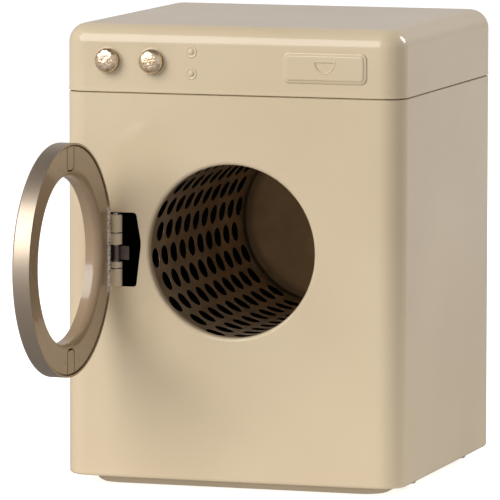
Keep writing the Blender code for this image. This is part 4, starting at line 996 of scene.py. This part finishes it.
# hinge, folded from strips of sheet that are rolled round the pin
hingeShape = {
    "roll": 0.0014, "ease": 0.00008,          # roll is to the middle of the sheet round the pin
    "fixed": ((0.0547, 0.0593), (0.0659, 0.0689)), "fixedTurn": (90, -210),
    "moving": ((0.0596, 0.0612), (0.0692, 0.0739)), "movingTurn": (-90, -390),
    # plans are points (x, y) from the hinge's axis, with the door shut
    "armPlan": [(0.0048, -0.0041), (0.0039, -0.0041), (0.0034, -0.00385), (0.0031, -0.0034), (0.0025, -0.0019),
                (0.0021, -0.0015), (0.0016, -0.0014)],
    "leaf": (0.0549, 0.0749), "leafPlan": [(0.009, -0.0041), (0.004, -0.0041)],
    "rootPlan": [(-0.0025, 0.0014), (-0.00105, 0.0014)],
    "bracketPlan": [(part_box("hinge_bracket")[0].x - hinge.x, 0.0014), (-0.0021, 0.0014)],
    "spring": (0.0615, 0.0656), "springRoll": 0.00102, "springTurn": (-90, -405, 24), "springWall": 0.00025,
    "springEase": 0.00004,
    "springPlan": [(0.0084, -0.00337), (0.0042, -0.00337), (0.0036, -0.00307), (0.0023, -0.00142),
                   (0.0016, -0.00102)],
    "tail": (0.0617, 0.0654), "tailPlan": [(-0.00051, 0), (-0.00051, 0.0036)],
}


def foldStrip(name, low, high, plan, wall=sheetWall, ease=hingeShape["ease"]):
    # an upright edge drawn through the plan's points
    clearAll()
    x, y = plan[0]
    tall = high - low
    bpy.ops.mesh.primitive_plane_add(size=tall, location=(x + tall / 2, y, (low + high) / 2),
                                     rotation=turns["front"])
    settle()
    strip = nameIt(name)
    edit()
    pick("VERT", lambda vert: vert.co.x > x + tall / 2)
    bpy.ops.mesh.delete(type="VERT")
    pick("EDGE", lambda edge: True)
    for nextX, nextY in plan[1:]:
        extrude((nextX - x, nextY - y, 0))
        x, y = nextX, nextY
    bpy.ops.mesh.select_all(action="SELECT")
    bpy.ops.mesh.normals_make_consistent(inside=False)
    edit(False)
    thicken(wall, 0)
    easeEdges(ease)
    return strip


def makeHinge(shape):
    roll = shape["roll"]
    moving = [foldStrip("knuckle", low, high, shape["armPlan"] + arcPlan(roll, *shape["movingTurn"]))
              for low, high in shape["moving"]]
    plate = foldStrip("plate", *shape["leaf"], shape["leafPlan"])
    leaf = joinAll([plate] + moving, "hingeLeaf")
    smooth(30)
    swingOpen(leaf)
    dress(leaf, creamPaint, "door", "cream_paint", "door_hinge_leaf")

    fixed = [foldStrip("knuckle", low, high, shape["rootPlan"] + arcPlan(roll, *shape["fixedTurn"]))
             for low, high in shape["fixed"]]
    plate = foldStrip("plate", pinLow.z, pinHigh.z, shape["bracketPlan"])
    bracket = joinAll([plate] + fixed, "hingeBracket")
    smooth(30)
    bracket.location = (hinge.x, hinge.y, 0)
    settle()
    dress(bracket, creamPaint, "cabinet", "cream_paint", "hinge_bracket")

    # the spring goes once round the pin, and its tail runs on behind the front panel
    wall, ease = shape["springWall"], shape["springEase"]
    eyePlan = shape["springPlan"] + arcPlan(shape["springRoll"], *shape["springTurn"])
    eye = foldStrip("eye", *shape["spring"], eyePlan, wall, ease)
    tail = foldStrip("tail", *shape["tail"], shape["tailPlan"], wall, ease)
    spring = joinAll([eye, tail], "hingeSpring")
    smooth(30)
    swingOpen(spring)
    dress(spring, darkSpring, "door", "spring_steel", "door_hinge_strip")


makeHinge(hingeShape)

# CAD nodes that stay
keptNodes = {
    shadedTrayPaint: ["base_tray"],
    creamPaint: ["bearing_cup"],
    panelPaint: ["rear_panel"],
    zinc: ["hinge_pin", "drum_spindle", "spindle_washer", "strip_rivet", "knob_spring_washer_left",
           "knob_spring_washer_right"] + [f"bearing_cup_rivet_{number}" for number in (1, 2, 3)] +
          [f"{side}_screw_{number}" for side in ("base_tray", "rear_panel") for number in (1, 2, 3, 4)],
    darkSpring: ["spindle_clip", "knob_clip_left", "knob_clip_right"],
    nylon: ["bearing_bush", "spindle_spacer"],
}
for material, nodes in keptNodes.items():
    for node in nodes:
        kept = frame["nodes"][node]
        if not kept.material_slots:
            kept.data.materials.append(None)
        for place in kept.material_slots:
            place.material = material
print("CAD nodes dressed")

# floor, light and camera
stageLook = {
    "floorSize": 30.0, "floorColour": 0.9, "floorBounce": 0.4, "floorLift": 0.72,
    "ambient": 0.35, "ambientAbove": 0.36, "ambientFades": (0.3, 1.0),
    # what shiny surfaces see: floor near and far, walls of the room and its ceiling
    "nearFloor": 0.28, "farFloor": 0.62, "floorFades": (0.06, 0.7), "tone": (1.0, 0.95, 0.96, 1),
    "ceiling": 0.16, "ceilingFades": (0.45, 0.85), "front": 0.6, "sides": 0.4, "wallFades": (-0.4, 0.1),
    "backdrop": 0.48, "backdropWay": (-0.3, 0.954, 0), "backdropEdge": (0.76, 0.84),
    "floorGlow": 0.6, "glowFades": (0.06, 0.3),     # light that the floor throws up, and how far out
}


def makeFloor(look):
    clearAll()
    bpy.ops.mesh.primitive_plane_add(size=look["floorSize"], location=(0, 0, 0))
    floor = nameIt("floor")
    material = bpy.data.materials.new("paleFloor")
    material.use_nodes = True
    tree = material.node_tree
    tree.nodes.clear()
    level = look["floorColour"]
    rays = addNode(tree, "LightPath").outputs
    bounce = look["floorBounce"]
    matt = addNode(tree, "BsdfDiffuse", {"Color": mixColours(
        tree, rays["Is Camera Ray"], (bounce, bounce, bounce, 1), (level, level, level, 1))})
    place = addNode(tree, "TexCoord").outputs["Object"]
    away = addNode(tree, "VectorMath", {0: place}, operation="LENGTH").outputs["Value"]
    glow = mathNode(tree, "MULTIPLY", rays["Is Diffuse Ray"], mapRange(
        tree, away, *look["glowFades"], look["floorGlow"], 0.0))
    lift = addNode(tree, "Emission", {"Color": (1, 1, 1, 1), "Strength": mathNode(
        tree, "ADD", glow, mathNode(tree, "MULTIPLY", rays["Is Camera Ray"], look["floorLift"]))})
    both = addNode(tree, "AddShader", {0: matt.outputs[0], 1: lift.outputs[0]})
    seen = addNode(tree, "Emission", {"Color": look["tone"], "Strength": mapRange(
        tree, away, *look["floorFades"], look["nearFloor"], look["farFloor"])})
    final = addNode(tree, "MixShader", {0: rays["Is Glossy Ray"], 1: both.outputs[0], 2: seen.outputs[0]})
    addNode(tree, "OutputMaterial", {"Surface": final.outputs[0]})
    floor.data.materials.append(material)


def makeWorld(look):
    world = bpy.data.worlds.new("studio")
    bpy.context.scene.world = world
    world.use_nodes = True
    tree = world.node_tree
    tree.nodes.clear()
    rays = addNode(tree, "LightPath").outputs
    way = addNode(tree, "TexCoord").outputs["Generated"]
    height = addNode(tree, "SeparateXYZ", {"Vector": way}).outputs["Z"]
    room = addNode(tree, "Background", {"Color": (1, 1, 1, 1), "Strength": mapRange(
        tree, height, *look["ambientFades"], look["ambient"], look["ambientAbove"])})
    seen = addNode(tree, "Background", {"Color": (1, 1, 1, 1), "Strength": 1.0})
    behind = addNode(tree, "VectorMath", {0: way, 1: look["backdropWay"]}, operation="DOT_PRODUCT").outputs["Value"]
    walls = mathNode(tree, "ADD", mapRange(tree, behind, *look["wallFades"], look["front"], look["sides"]),
                     mapRange(tree, behind, *look["backdropEdge"], 0.0, look["backdrop"] - look["sides"]))
    mirrored = addNode(tree, "Background", {"Color": look["tone"], "Strength": mixValues(
        tree, mapRange(tree, height, *look["ceilingFades"], 0.0, 1.0), walls, look["ceiling"])})
    glossy = addNode(tree, "MixShader", {0: rays["Is Glossy Ray"], 1: room.outputs[0], 2: mirrored.outputs[0]})
    final = addNode(tree, "MixShader", {0: rays["Is Camera Ray"], 1: glossy.outputs[0], 2: seen.outputs[0]})
    addNode(tree, "OutputWorld", {"Surface": final.outputs[0]})


# azimuth is from the front, positive to the right; height above the floor line
lamps = {
    "keyRound": {"azimuth": -31, "elevation": 30, "distance": 1.1, "wide": 0.86, "tall": 0.86, "power": 8.5},
    "fillPanel": {"azimuth": 138, "elevation": 30, "distance": 1.3, "wide": 0.5, "tall": 0.5, "power": 6.4},
}


def makeLamp(name, lamp):
    azimuth, elevation = math.radians(lamp["azimuth"]), math.radians(lamp["elevation"])
    way = Vector((math.sin(azimuth) * math.cos(elevation), -math.cos(azimuth) * math.cos(elevation),
                  math.sin(elevation)))
    data = bpy.data.lights.new(name, "AREA")
    data.shape, data.size, data.size_y, data.energy = "ELLIPSE", lamp["wide"], lamp["tall"], lamp["power"]
    made = bpy.data.objects.new(name, data)
    bpy.context.scene.collection.objects.link(made)
    made.location = lampAim + way * lamp["distance"]
    made.rotation_euler = way.to_track_quat("Z", "Y").to_euler()
    made.visible_camera = False


# fitted to the photograph's edges
cameraFit = {
    "place": (0.48511, -1.56911, 0.24229), "right": (0.95376, 0.30057, 0.00134), "up": (-0.03433, 0.1045, 0.99393),
    "back": (0.2986, -0.94802, 0.10999), "lens": 433.66, "sensor": 36.0, "clipStart": 0.05,
}


def makeCamera(fit):
    data = bpy.data.cameras.new("photoCamera")
    data.lens, data.sensor_width, data.clip_start = fit["lens"], fit["sensor"], fit["clipStart"]
    camera = bpy.data.objects.new("photoCamera", data)
    bpy.context.scene.collection.objects.link(camera)
    turn = Matrix((fit["right"], fit["up"], fit["back"])).transposed().to_4x4()
    camera.matrix_world = Matrix.Translation(fit["place"]) @ turn
    bpy.context.scene.camera = camera


makeFloor(stageLook)
makeWorld(stageLook)
for lampName, lamp in lamps.items():
    makeLamp(lampName, lamp)
makeCamera(cameraFit)
bpy.context.scene.view_settings.view_transform = "Standard"
print("stage set")
